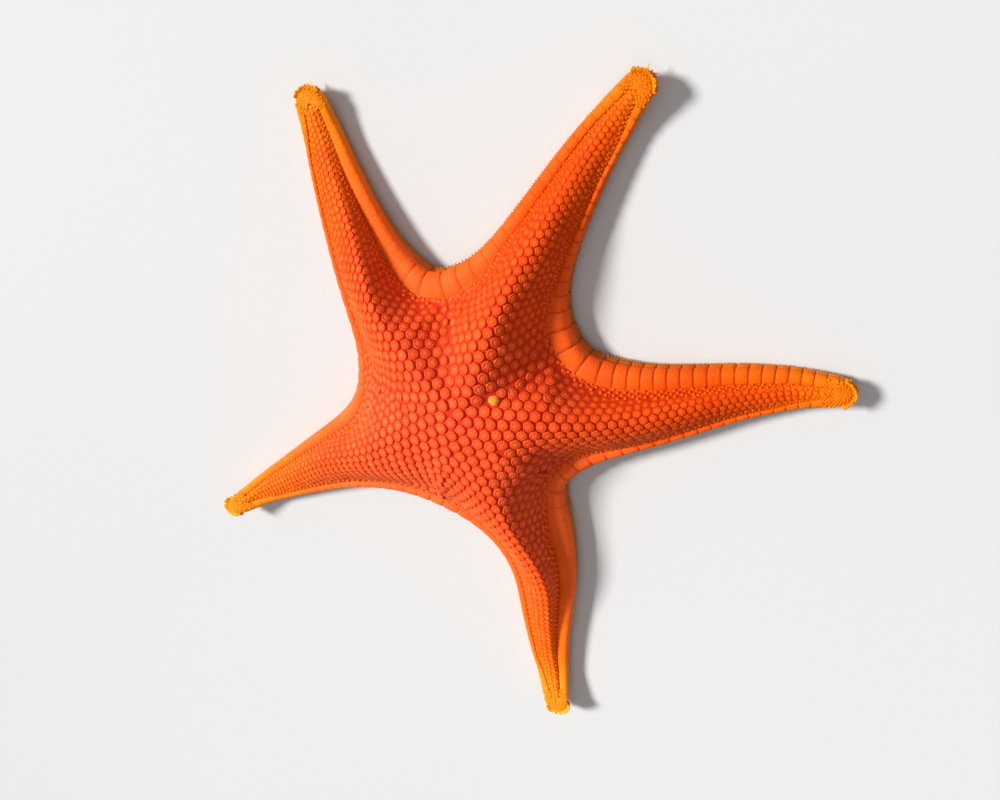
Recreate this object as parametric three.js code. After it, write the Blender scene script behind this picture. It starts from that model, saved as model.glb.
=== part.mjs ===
// A vermilion sea star, life size, resting on its mouth side: a domed disc, five bent arms with
// turned-up tips, and the sieve plate (madreporite). Millimetres, +Z up, the floor at z = 0.
//
// Each arm has its own flat coordinates before it is bent: x runs from the disc's centre out along
// the arm's midline, y runs across it (left positive) and z is the height above the floor.
// `place` then bends the arm and turns it to its azimuth.
import * as THREE from "three";

// ---- Driving dimensions (mm, degrees) ----
const DISC_HEIGHT = 20.8; // top of the disc above the floor
const RIDGE_END_HEIGHT = 4.4; // back of an arm at its tip
const RIDGE_FALL = 2; // how soon the back falls to that height, as a power of a cosine
const FRAME_HEIGHT_AT_NOTCH = 7.6; // the upper and lower rows of marginal plates together
const FRAME_HEIGHT_AT_TIP = 4.0;
const FRAME_WIDTH_AT_ROOT = 5.2; // the upper row lying open, seen from above
const FRAME_WIDTH_AT_TIP = 2.1;
const FRAME_RIM = 0.4; // how far the frame stands above the back beside it
const PLATE_JOINT_DEPTH = 0.1; // groove between two plates, as a share of the frame's width
const TIP_ROUNDING = 3.4; // length of the rounded end
const TIP_MIDDLE = 0.45; // height it closes in on, as a share of the ridge's end height
const LIFT_LENGTH = 13; // the last stretch of an arm, which rises off the floor
const GROOVE_HALF_WIDTH = 2.2; // ambulacral groove under each arm
const GROOVE_HALF_WIDTH_AT_TIP = 0.9;
const GROOVE_DEPTH = 3.2; // running out to nothing at the tip
const GROOVE_LIP = 0.4;
const MOUTH_RADIUS = 3.2;
const MOUTH_SLOPE = 2; // width of the sloping wall round it
const MOUTH_DEPTH = 6.5;
const SHOULDER_PLATES = 2; // plates on each side of an arm's root that belong to the disc
const TIP_PLATES = 2; // plates that belong to its tip
const GAP = 0.34; // between neighbouring pieces, along the row of plates
const MADREPORITE_RADIUS = 1.3;
const MADREPORITE_HEIGHT = 0.9;
const MADREPORITE_DISTANCE = 9.2; // from the disc's centre
const MADREPORITE_GAP = 0.35;

// The disc's centre, measured from the middle of the whole animal's outline.
const DISC_CENTRE = new THREE.Vector2(-1.52, 10.6);

// azimuth: of the arm's root. sweep, curl: bends of its inner and outer half. lean: sideways
// shift of the back for each mm of height. lift: of the tip off the floor. plates: marginal
// plates along each side. notch: azimuth, radius and width of the plates at the notch on the
// arm's left. fullness: how far the disc stays swollen on the way there. On the left and on the
// right: halfWidth: just past the curve of the notch, taper: half width lost for each mm along
// the arm, flare: how wide open the upper marginal plates lie further out.
const ARMS = [
  { name: "upper_right", color: 0xf0561f, azimuth: 68.3, length: 77.8, sweep: -11.5, curl: -10.5,
    lean: -0.12, lift: 2.8, plates: 14, notch: [104.4, 28.8, 5.6], fullness: 2,
    halfWidth: [8.8, 11], taper: [0.11, 0.142], flare: [0.7, 0.45] },
  { name: "upper_left", color: 0xf35a20, azimuth: 132.2, length: 77.4, sweep: -25.7, curl: -8.1,
    lean: -0.33, lift: 1.6, plates: 14, notch: [172.2, 30.7, 2.6], fullness: 2.6,
    halfWidth: [11, 11], taper: [0.146, 0.146], flare: [0.4, 1.1] },
  { name: "left", color: 0xf66428, azimuth: 208.7, length: 84.7, sweep: -1.8, curl: 1.5,
    lean: -0.26, lift: 3.6, plates: 17, notch: [248, 33.3, 2.6], fullness: 3,
    halfWidth: [11, 11], taper: [0.146, 0.146], flare: [0.5, 0.75] },
  { name: "lower", color: 0xf56a24, azimuth: 285.4, length: 90.2, sweep: -17.5, curl: 11,
    lean: 0.28, lift: 2.4, plates: 16, notch: [314.6, 28.1, 3.4], fullness: 4.5,
    halfWidth: [11, 10.6], taper: [0.13, 0.115], flare: [1.1, 0.5] },
  { name: "right", color: 0xee5a1c, azimuth: 357.5, length: 78.8, sweep: 16.1, curl: -12.6,
    lean: 0.05, lift: 1.6, plates: 14, notch: [30.2, 26.5, 5], fullness: 2.2,
    halfWidth: [11, 11], taper: [0.146, 0.146], flare: [1.1, 0.45] },
];
const DISC_COLOR = 0xee4c26;
const TIP_COLOR = 0xf5a31c;
const MADREPORITE_COLOR = 0xffb43a;

// ---- Mesh resolution ----
const DISC_LINES = [0, 0.13, 0.2, 0.4, 0.6, 0.8]; // cross lines short of the notch
const LINES_PER_PLATE = 2; // one on the joint, one on the crown
const LINES_PER_TIP_PLATE = 4;
const BACK_STEPS = 4; // from the midline to the plates
const OUTLINE_SAMPLES = 240;
const MIDLINE_STEPS = 60;
const BEAD_SIDES = 14;
const MERGE_GRID = 500; // points fall together within 1 mm over this
const HUB_LEVEL = 0.7; // height of the hub of a cut's fan, as a share of its points' mean height

// The plates' profile from the back to the floor: share of the frame's width in from the
// outline, and share of its height. The dent halfway down parts the upper row from the lower.
const FRAME_PROFILE = [[0.74, 1], [0.24, 0.94], [0, 0.64], [0.1, 0.49], [0, 0.3], [0.2, 0]];

const { lerp, clamp, degToRad, euclideanModulo, smoothstep } = THREE.MathUtils;
const ease = (share) => smoothstep(share, 0, 1);

// ---- The plan of one side of an arm ----
// Half width of the outline at x. It leaves the notch square to the line between two arms, and
// settles within a few mm into the arm's straight taper.
function outlineHalfWidth(side, x) {
  const past = x - side.start;
  const extra = side.notchHalfWidth - side.halfWidth;
  const settle = extra / (1 / Math.tan(side.sector) - side.taper);
  const width = side.halfWidth - side.taper * past + extra * Math.exp(-past / settle);
  const intoEnd = clamp(1 - (side.length - x) / TIP_ROUNDING, 0, 1);
  return width * Math.sqrt(1 - intoEnd * intoEnd);
}

// 0 where the side begins at its notch, 1 where the last plates of both sides meet.
const alongArm = (side, x) =>
  clamp((x - side.start) / (side.length - FRAME_WIDTH_AT_TIP - side.start), 0, 1);

const frameHeight = (side, x) =>
  lerp(FRAME_HEIGHT_AT_NOTCH, FRAME_HEIGHT_AT_TIP, alongArm(side, x));

function frameWidth(side, x) {
  const along = alongArm(side, x);
  const open = lerp(FRAME_WIDTH_AT_ROOT, FRAME_WIDTH_AT_TIP, along);
  return lerp(side.notchWidth, open * lerp(1, side.flare, ease(4 - 4 * along)), ease(4 * along));
}

// The band of plates from the notch to the tip: its inner and outer edge, at each length of arc
// along the outline. It ends on the midline, facing forwards, where it meets the other side's,
// and its inner edge never turns back or crosses the midline on the way.
function marginBand(side) {
  const outline = Array.from({ length: OUTLINE_SAMPLES + 1 }, (_, i) => {
    const x = lerp(side.start, side.length, Math.sin((Math.PI / 2) * (i / OUTLINE_SAMPLES)));
    return new THREE.Vector2(x, outlineHalfWidth(side, x));
  });
  let arc = 0;
  let innerX = 0;
  return outline.map((outer, i) => {
    const before = outline[Math.max(i - 1, 0)];
    const after = outline[Math.min(i + 1, OUTLINE_SAMPLES)];
    const tangent = after.clone().sub(before).normalize();
    const normal = new THREE.Vector2(-tangent.y, tangent.x);
    if (i === 0) normal.set(Math.cos(side.sector), Math.sin(side.sector));
    if (i === OUTLINE_SAMPLES) normal.set(1, 0);
    const width = frameWidth(side, outer.x);
    arc += outer.distanceTo(before);
    const inner = outer.clone().addScaledVector(normal, -width);
    innerX = clamp(inner.x, innerX, side.length - FRAME_WIDTH_AT_TIP);
    return { arc, outer, normal, width, inner: inner.set(innerX, Math.max(inner.y, 0)) };
  });
}

// The band at a share (0 to 1) of its length.
function bandAt(side, share) {
  const { band } = side;
  const arc = clamp(share, 0, 1) * band.at(-1).arc;
  const k = clamp(band.findIndex((row) => row.arc >= arc), 1, OUTLINE_SAMPLES);
  const [a, b] = [band[k - 1], band[k]];
  const t = (arc - a.arc) / (b.arc - a.arc);
  return {
    outer: a.outer.clone().lerp(b.outer, t),
    inner: a.inner.clone().lerp(b.inner, t),
    normal: a.normal.clone().lerp(b.normal, t),
    width: lerp(a.width, b.width, t),
  };
}

// The two sides of each arm, its left (sign +1) and its right. Neighbours share one notch. Arms
// are straight as far as the later of the two places where their sides begin.
for (const [i, arm] of ARMS.entries()) {
  const rightNeighbour = ARMS[(i + ARMS.length - 1) % ARMS.length];
  arm.sides = [arm, rightNeighbour].map(({ notch: [azimuth, radius, width], fullness }, k) => {
    const sign = 1 - 2 * k;
    const sector = degToRad(euclideanModulo(sign * (azimuth - arm.azimuth), 360));
    const side = { sign, sector, fullness, length: arm.length };
    for (const key of ["halfWidth", "taper", "flare"]) side[key] = arm[key][k];
    side.start = radius * Math.cos(sector);
    side.notchHalfWidth = radius * Math.sin(sector);
    side.notchWidth = width;
    side.band = marginBand(side);
    return side;
  });
  arm.bendStart = Math.max(...arm.sides.map((side) => side.start));
}

// ---- Heights ----
// Height of the midline of the back. It comes down to the plates where it meets the last ones.
function ridgeHeight(arm, x) {
  const fall = Math.cos((Math.PI / 2) * clamp(x / arm.length, 0, 1)) ** RIDGE_FALL;
  const shut = ease((arm.length - FRAME_WIDTH_AT_TIP - x) / TIP_ROUNDING);
  return lerp(FRAME_HEIGHT_AT_TIP - FRAME_RIM, lerp(RIDGE_END_HEIGHT, DISC_HEIGHT, fall), shut);
}

// Height of the back at x, s of the way (0 to 1) from the midline to the plates or, short of the
// notch, to the line between two arms.
function backHeight(arm, side, x, s) {
  const out = x / side.band[0].inner.x;
  const beside = frameHeight(side, x) - FRAME_RIM;
  const valley = beside + (DISC_HEIGHT - beside) * (1 - Math.min(out, 1) ** side.fullness);
  const roundness = lerp(2, 0.95, ease((out - 0.5) / 1.6));
  return valley + (ridgeHeight(arm, x) - valley) * (1 - s * s) ** roundness;
}

const mouthHeight = (x, y) =>
  MOUTH_DEPTH * (1 - ease((Math.hypot(x, y) - MOUTH_RADIUS) / MOUTH_SLOPE));

// The end of an arm closes in from above and below.
function roundedEnd(arm, x, z) {
  const intoEnd = clamp(1 - (arm.length - x) / TIP_ROUNDING, 0, 1);
  return lerp(TIP_MIDDLE * RIDGE_END_HEIGHT, z, Math.sqrt(1 - 0.5 * intoEnd * intoEnd));
}

// ---- Bending an arm to its pose ----
function heading(arm, x) {
  const sweep = arm.sweep * ease((x - arm.bendStart) / (0.35 * arm.length));
  const curl = arm.curl * ease((x - 0.6 * arm.length) / (0.4 * arm.length));
  return degToRad(arm.azimuth + sweep + curl);
}

// The bent midline, summed up in short straight steps.
function midlinePoint(arm, x) {
  const point = DISC_CENTRE.clone();
  const step = x / MIDLINE_STEPS;
  for (let i = 0; i < MIDLINE_STEPS; i += 1) {
    const angle = heading(arm, (i + 0.5) * step);
    point.x += step * Math.cos(angle);
    point.y += step * Math.sin(angle);
  }
  return point;
}

function place(arm, x, y, z) {
  const angle = heading(arm, x);
  const start = midlinePoint(arm, x);
  const across = y + arm.lean * z * ease((x - arm.bendStart) / (0.3 * arm.length));
  const lift = arm.lift * ease((x - arm.length + LIFT_LENGTH) / LIFT_LENGTH);
  return new THREE.Vector3(
    start.x - across * Math.sin(angle),
    start.y + across * Math.cos(angle),
    z + lift,
  );
}

// ---- Cross lines ----
// A cross line is named by u. From 0, the disc's centre, to 1 it ends on the line between two
// arms. From 1 on, u - 1 counts the plates it has passed on each side of the arm.
function midlineX(arm, u) {
  const share = (u - 1) / arm.plates;
  const [left, right] = arm.sides.map((side) => bandAt(side, share));
  return 0.5 * Math.min(u, 1) * (left.inner.x + right.inner.x);
}

// Half a cross line as [x, y, z]: from the midline over the back and the plates, then underneath
// to the middle of the groove.
function halfLine(arm, side, u) {
  const mid = midlineX(arm, u);
  const { inner, outer, normal, width } = bandAt(side, (u - 1) / arm.plates);
  inner.multiplyScalar(Math.min(u, 1));
  const back = Array.from({ length: BACK_STEPS + 1 }, (_, j) => {
    const s = Math.sin((Math.PI / 2) * (j / BACK_STEPS));
    const x = lerp(mid, inner.x, s);
    return [x, s * inner.y, backHeight(arm, side, x, s)];
  });

  const platesLeft = arm.plates + 1 - u;
  const joint = PLATE_JOINT_DEPTH * width * Math.abs(2 * (u % 1) - 1) * Math.min(1, platesLeft);
  const height = frameHeight(side, outer.x) - joint;
  const plates = FRAME_PROFILE.map(([inward, up]) => {
    const inset = inward * width + joint * (1 - inward);
    const point = outer.clone().addScaledVector(normal, -inset);
    return [point.x, point.y, up * height];
  });
  const frame = u < 1 ? [[inner.x, inner.y, mouthHeight(inner.x, inner.y)]] : plates;

  const [footX, footY] = frame.at(-1);
  const along = clamp(mid / (arm.length - FRAME_WIDTH_AT_TIP), 0, 1);
  const grooveY = lerp(GROOVE_HALF_WIDTH, GROOVE_HALF_WIDTH_AT_TIP, along);
  const depth = GROOVE_DEPTH * (1 - along * along);
  const lipY = Math.min(grooveY + GROOVE_LIP, 0.75 * footY);
  const groove = [[lipY, 0], [Math.min(grooveY, 0.55 * footY), 0.85 * depth], [0, depth]];
  const belly = groove.map(([y, z]) => {
    const x = footY > 0 ? lerp(mid, footX, y / footY) : mid;
    return [x, y, Math.max(z, mouthHeight(x, y))];
  });
  return [...back, ...frame, ...belly].map(([x, y, z]) => [x, y, roundedEnd(arm, x, z)]);
}

// ---- Closed solids made of cross lines ----
class Skin {
  constructor() {
    this.positions = [];
    this.faces = [];
    this.known = new Map();
  }

  // Index of a point. Two points in the same place are one.
  add(point) {
    const key = point.toArray().map((c) => Math.round(MERGE_GRID * c)).join(",");
    if (!this.known.has(key)) {
      this.known.set(key, this.known.size);
      this.positions.push(...point.toArray());
    }
    return this.known.get(key);
  }

  triangle(a, b, c) {
    if (a !== b && b !== c && c !== a) this.faces.push(a, b, c);
  }

  addLine(arm, side, u) {
    return halfLine(arm, side, u).map(([x, y, z]) => this.add(place(arm, x, side.sign * y, z)));
  }

  // The surface between two rows of points.
  strip(rowA, rowB, flip) {
    for (let k = 0; k + 1 < rowA.length; k += 1) {
      const [a, b, c, d] = [rowA[k], rowB[k], rowB[k + 1], rowA[k + 1]];
      this.triangle(a, ...(flip ? [c, b] : [b, c]));
      this.triangle(a, ...(flip ? [d, c] : [c, d]));
    }
  }

  // Joins two half lines short of the notch, where there are a back and a belly but no edge.
  joinInDisc(lineA, lineB, flip) {
    const backEnd = BACK_STEPS + 1;
    const bellyStart = backEnd + lineB.length - lineA.length;
    this.strip(lineA.slice(0, backEnd), lineB.slice(0, backEnd), flip);
    this.strip(lineA.slice(backEnd), lineB.slice(bellyStart), flip);
  }

  // Closes one half of a cut across the arm with a fan about a hub, low enough to see every edge.
  cap(line, flip) {
    const middle = new THREE.Vector3();
    for (const i of line) {
      middle.add(new THREE.Vector3().fromArray(this.positions, 3 * i));
    }
    middle.divideScalar(line.length);
    const hub = this.add(middle.setZ(HUB_LEVEL * middle.z));
    line.forEach((i, k) => {
      const next = line[(k + 1) % line.length];
      this.triangle(hub, ...(flip ? [i, next] : [next, i]));
    });
  }

  // The length of an arm that the cross lines `us` run through, capped where asked.
  addLength(arm, us, capStart, capEnd) {
    for (const side of arm.sides) {
      const lines = us.map((u) => this.addLine(arm, side, u));
      const isRight = side.sign < 0;
      for (let i = 0; i + 1 < lines.length; i += 1) {
        if (us[i] < 1) this.joinInDisc(lines[i], lines[i + 1], isRight);
        else this.strip(lines[i], lines[i + 1], isRight);
      }
      if (capStart) this.cap(lines[0], !isRight);
      if (capEnd) this.cap(lines.at(-1), isRight);
    }
    return this;
  }

  toMesh(name, color) {
    const geometry = new THREE.BufferGeometry();
    geometry.setAttribute("position", new THREE.Float32BufferAttribute(this.positions, 3));
    geometry.setIndex(this.faces);
    geometry.computeVertexNormals();
    return namedMesh(name, geometry, color, 0.62);
  }
}

function namedMesh(name, geometry, color, roughness) {
  const material = new THREE.MeshStandardMaterial({ color, roughness, metalness: 0 });
  const mesh = new THREE.Mesh(geometry, material);
  mesh.name = name;
  return mesh;
}

// Cross lines from one plate joint to another, with half a gap kept off each cut.
function plateLines(arm, from, to, linesPerPlate) {
  const halfGap = (0.5 * GAP * arm.plates) / arm.sides[0].band.at(-1).arc;
  const count = linesPerPlate * (to - from);
  const us = Array.from({ length: count + 1 }, (_, i) => 1 + from + i / linesPerPlate);
  if (from > 0) us[0] += halfGap;
  if (to < arm.plates) us[count] -= halfGap;
  return us;
}

// ---- The pieces ----
function discMesh() {
  const skin = new Skin();
  for (const arm of ARMS) {
    const us = [...DISC_LINES, ...plateLines(arm, 0, SHOULDER_PLATES, LINES_PER_PLATE)];
    skin.addLength(arm, us, false, true);
  }
  return skin.toMesh("disc", DISC_COLOR);
}

function armMesh(arm) {
  const us = plateLines(arm, SHOULDER_PLATES, arm.plates - TIP_PLATES, LINES_PER_PLATE);
  return new Skin().addLength(arm, us, true, true).toMesh("arm_" + arm.name, arm.color);
}

function tipMesh(arm) {
  const us = plateLines(arm, arm.plates - TIP_PLATES, arm.plates, LINES_PER_TIP_PLATE);
  return new Skin().addLength(arm, us, true, false).toMesh("tip_" + arm.name, TIP_COLOR);
}

// A low bead on the disc, on the line between the upper right and the right arm, square to the
// surface under it.
function madreporiteMesh() {
  const [arm] = ARMS;
  const side = arm.sides[1];
  const onDisc = (distance) => {
    const x = distance * Math.cos(side.sector);
    return place(arm, x, -distance * Math.sin(side.sector), backHeight(arm, side, x, 1));
  };
  const profile = [[0, 0], [1, 0], [1.06, 0.35], [0.8, 0.8], [0.35, 1], [0, 1]].map(
    ([r, h]) => new THREE.Vector2(r * MADREPORITE_RADIUS, h * MADREPORITE_HEIGHT),
  );
  const geometry = new THREE.LatheGeometry(profile, BEAD_SIDES).rotateX(Math.PI / 2);
  const mesh = namedMesh("madreporite", geometry, MADREPORITE_COLOR, 0.4);
  const inner = onDisc(MADREPORITE_DISTANCE - MADREPORITE_RADIUS);
  const outer = onDisc(MADREPORITE_DISTANCE + MADREPORITE_RADIUS);
  const outward = outer.clone().sub(inner).normalize();
  const sideways = new THREE.Vector3(-outward.y, outward.x, 0).normalize();
  const up = outward.clone().cross(sideways);
  mesh.quaternion.setFromRotationMatrix(new THREE.Matrix4().makeBasis(outward, sideways, up));
  mesh.position.copy(inner.lerp(outer, 0.5).addScaledVector(up, MADREPORITE_GAP));
  return mesh;
}

const star = new THREE.Group();
star.add(discMesh());
for (const arm of ARMS) star.add(armMesh(arm), tipMesh(arm));
star.add(madreporiteMesh());

export default star;
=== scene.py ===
"""Looks of the vermilion sea star: one skin with its marginal plates, the field of raised plates
(tabulae) ringed with granules, spines, tube feet, sieve plate, materials, light and camera.

Lengths are in mm and angles in degrees until a mesh is made. Every shape is built on a straight
arm first: x from the disc's centre along the arm, y across it (left positive), z above the floor.
Arm.place then bends it into the pose, with the same dimensions as the CAD.
"""

import math

import bpy
import numpy as np
from mathutils import Matrix, Vector

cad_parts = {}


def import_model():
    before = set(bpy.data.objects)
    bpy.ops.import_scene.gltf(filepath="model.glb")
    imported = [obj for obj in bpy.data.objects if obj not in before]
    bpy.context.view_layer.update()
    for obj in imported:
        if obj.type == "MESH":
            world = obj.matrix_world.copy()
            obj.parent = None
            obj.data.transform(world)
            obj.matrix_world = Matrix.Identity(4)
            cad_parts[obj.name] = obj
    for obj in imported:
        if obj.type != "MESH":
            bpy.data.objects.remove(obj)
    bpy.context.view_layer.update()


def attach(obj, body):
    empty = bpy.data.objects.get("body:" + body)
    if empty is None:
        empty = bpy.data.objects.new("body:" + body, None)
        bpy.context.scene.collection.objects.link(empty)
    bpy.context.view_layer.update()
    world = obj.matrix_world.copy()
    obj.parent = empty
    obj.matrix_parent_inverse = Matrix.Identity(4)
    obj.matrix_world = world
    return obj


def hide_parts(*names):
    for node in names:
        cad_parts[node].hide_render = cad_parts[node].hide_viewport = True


MM = 0.001
SEED = 11

# ---- The animal's dimensions, as in the CAD ----
DISC_HEIGHT = 20.8
RIDGE_END_HEIGHT = 4.4
RIDGE_FALL = 2.0
FRAME_HEIGHT_AT_NOTCH = 7.6
FRAME_HEIGHT_AT_TIP = 4.0
FRAME_WIDTH_AT_ROOT = 5.2
FRAME_WIDTH_AT_TIP = 2.1
FRAME_RIM = 0.4
TIP_ROUNDING = 3.4
TIP_MIDDLE = 0.45
LIFT_LENGTH = 13.0
SWEEP_SHARE = 0.35  # share of an arm's length that its inner bend takes
CURL_FROM = 0.6  # where its outer bend begins, as a share of its length
LEAN_SHARE = 0.3
ROUNDNESS = (2, 0.95)  # power of the back's cross section in the disc and on the arm
ROUNDNESS_FROM, ROUNDNESS_OVER = 0.5, 1.6  # as shares of the way to the notch
GROOVE_HALF_WIDTH = 2.2
GROOVE_HALF_WIDTH_AT_TIP = 0.9
GROOVE_DEPTH = 3.2
GROOVE_LIP = 0.4
MOUTH_RADIUS = 3.2
MOUTH_SLOPE = 2.0
MOUTH_DEPTH = 6.5
SIEVE_DISTANCE = 9.2  # of the sieve plate from the disc's centre
DISC_CENTRE = (-1.52, 10.6)

# plates: marginal plates along each side of an arm. notch: azimuth, radius and width of the plates
# at the notch on the arm's left. joints: how deep the cuts between plates stay, past the notch,
# on the left and right. The other entries are those of the CAD too.
ARMS = [
    dict(name="upper_right", azimuth=68.3, length=77.8, sweep=-11.5, curl=-10.5, lean=-0.12,
         lift=2.8, plates=21, notch=(104.4, 28.8, 5.6), fullness=2, half_width=(8.8, 11),
         taper=(0.11, 0.142), flare=(0.7, 0.45), joints=(0.5, 0.8)),
    dict(name="upper_left", azimuth=132.2, length=77.4, sweep=-25.7, curl=-8.1, lean=-0.33,
         lift=1.6, plates=22, notch=(172.2, 30.7, 2.6), fullness=2.6, half_width=(11, 11),
         taper=(0.146, 0.146), flare=(0.4, 1.1), joints=(0.5, 0.08)),
    dict(name="left", azimuth=208.7, length=84.7, sweep=-1.8, curl=1.5, lean=-0.26,
         lift=3.6, plates=25, notch=(248, 33.3, 2.6), fullness=3, half_width=(11, 11),
         taper=(0.146, 0.146), flare=(0.5, 0.75), joints=(0.3, 0.2)),
    dict(name="lower", azimuth=285.4, length=90.2, sweep=-17.5, curl=11, lean=0.28,
         lift=2.4, plates=24, notch=(314.6, 28.1, 3.4), fullness=4.5, half_width=(11, 10.6),
         taper=(0.13, 0.115), flare=(1.1, 0.5), joints=(0.08, 0.3)),
    dict(name="right", azimuth=357.5, length=78.8, sweep=16.1, curl=-12.6, lean=0.05,
         lift=1.6, plates=22, notch=(30.2, 26.5, 5), fullness=2.2, half_width=(11, 11),
         taper=(0.146, 0.146), flare=(1.1, 0.45), joints=(0.9, 0.8)),
]


# ---- Small helpers ----
FAR = 1e9
TINY = 1e-6  # mm


def lerp(a, b, t):
    return a + (b - a) * t


def ease(t):
    t = np.clip(t, 0, 1)
    return t * t * (3 - 2 * t)


def unit(v):
    return v / np.maximum(np.linalg.norm(v, axis=-1, keepdims=True), 1 / FAR)


def turned(vectors, degrees):
    """Vectors (n, 3) turned about the upright."""
    c, s = math.cos(math.radians(degrees)), math.sin(math.radians(degrees))
    x, y, z = vectors.T
    return np.stack([x * c - y * s, x * s + y * c, z], -1)


# ---- The plan of an arm ----
class Side:
    """One side of an arm: its outline, and the band of marginal plates inside it."""

    SAMPLES = 600

    def __init__(self, sign, arm, notch_arm):
        notch_azimuth, radius, self.notch_width = notch_arm["notch"]
        self.sign, self.fullness, self.length = sign, notch_arm["fullness"], arm["length"]
        self.widest, self.taper, self.flare, self.joints = (
            arm[key][int(sign < 0)] for key in ("half_width", "taper", "flare", "joints"))
        self.sector = math.radians(sign * (notch_azimuth - arm["azimuth"]) % 360)
        self.start = radius * math.cos(self.sector)
        self.notch_half_width = radius * math.sin(self.sector)
        turn = np.linspace(0, 0.5 * math.pi, self.SAMPLES)
        x = lerp(self.start, self.length, np.sin(turn))
        y = self.half_width(x)
        tangent = unit(np.stack([np.gradient(x), np.gradient(y)], 1))
        self.normal = np.stack([-tangent[:, 1], tangent[:, 0]], 1)
        self.normal[0] = math.cos(self.sector), math.sin(self.sector)
        self.normal[-1] = 1, 0
        self.outer = np.stack([x, y], 1)
        self.last = self.length - FRAME_WIDTH_AT_TIP
        self.width = self.frame_width(x)
        self.inner = self.outer - self.normal * self.width[:, None]
        self.inner[:, 0] = np.minimum(np.maximum.accumulate(self.inner[:, 0]), self.last)
        self.inner[:, 1] = np.maximum(self.inner[:, 1], 0)
        steps = np.linalg.norm(np.diff(self.outer, axis=0), axis=1)
        self.arc = np.concatenate([[0], np.cumsum(steps)])

    def half_width(self, x):
        past = x - self.start
        extra = self.notch_half_width - self.widest
        settle = extra / (1 / math.tan(self.sector) - self.taper)
        width = self.widest - self.taper * past + extra * np.exp(-past / settle)
        into_end = np.clip(1 - (self.length - x) / TIP_ROUNDING, 0, 1)
        return width * np.sqrt(1 - into_end**2)

    def along(self, x):
        return np.clip((x - self.start) / (self.last - self.start), 0, 1)

    def frame_height(self, x):
        return lerp(FRAME_HEIGHT_AT_NOTCH, FRAME_HEIGHT_AT_TIP, self.along(x))

    def frame_width(self, x):
        along = self.along(x)
        wide = lerp(FRAME_WIDTH_AT_ROOT, FRAME_WIDTH_AT_TIP, along)
        wide = wide * lerp(1, self.flare, ease(4 - 4 * along))
        return lerp(self.notch_width, wide, ease(4 * along))

    def band(self, share):
        """Inner and outer edge, outward normal and width at a share of the band's length."""
        arc = np.clip(share, 0, 1) * self.arc[-1]

        def pick(table):
            return np.stack([np.interp(arc, self.arc, column) for column in table.T], -1)

        width = np.interp(arc, self.arc, self.width)
        return pick(self.inner), pick(self.outer), pick(self.normal), width

    def inner_half_width(self, x):
        """Half width of the back at x, up to the plates or the line between two arms."""
        past = np.interp(x, self.inner[:, 0], self.inner[:, 1])
        return np.where(x < self.inner[0, 0], x * math.tan(self.sector), past)


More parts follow.
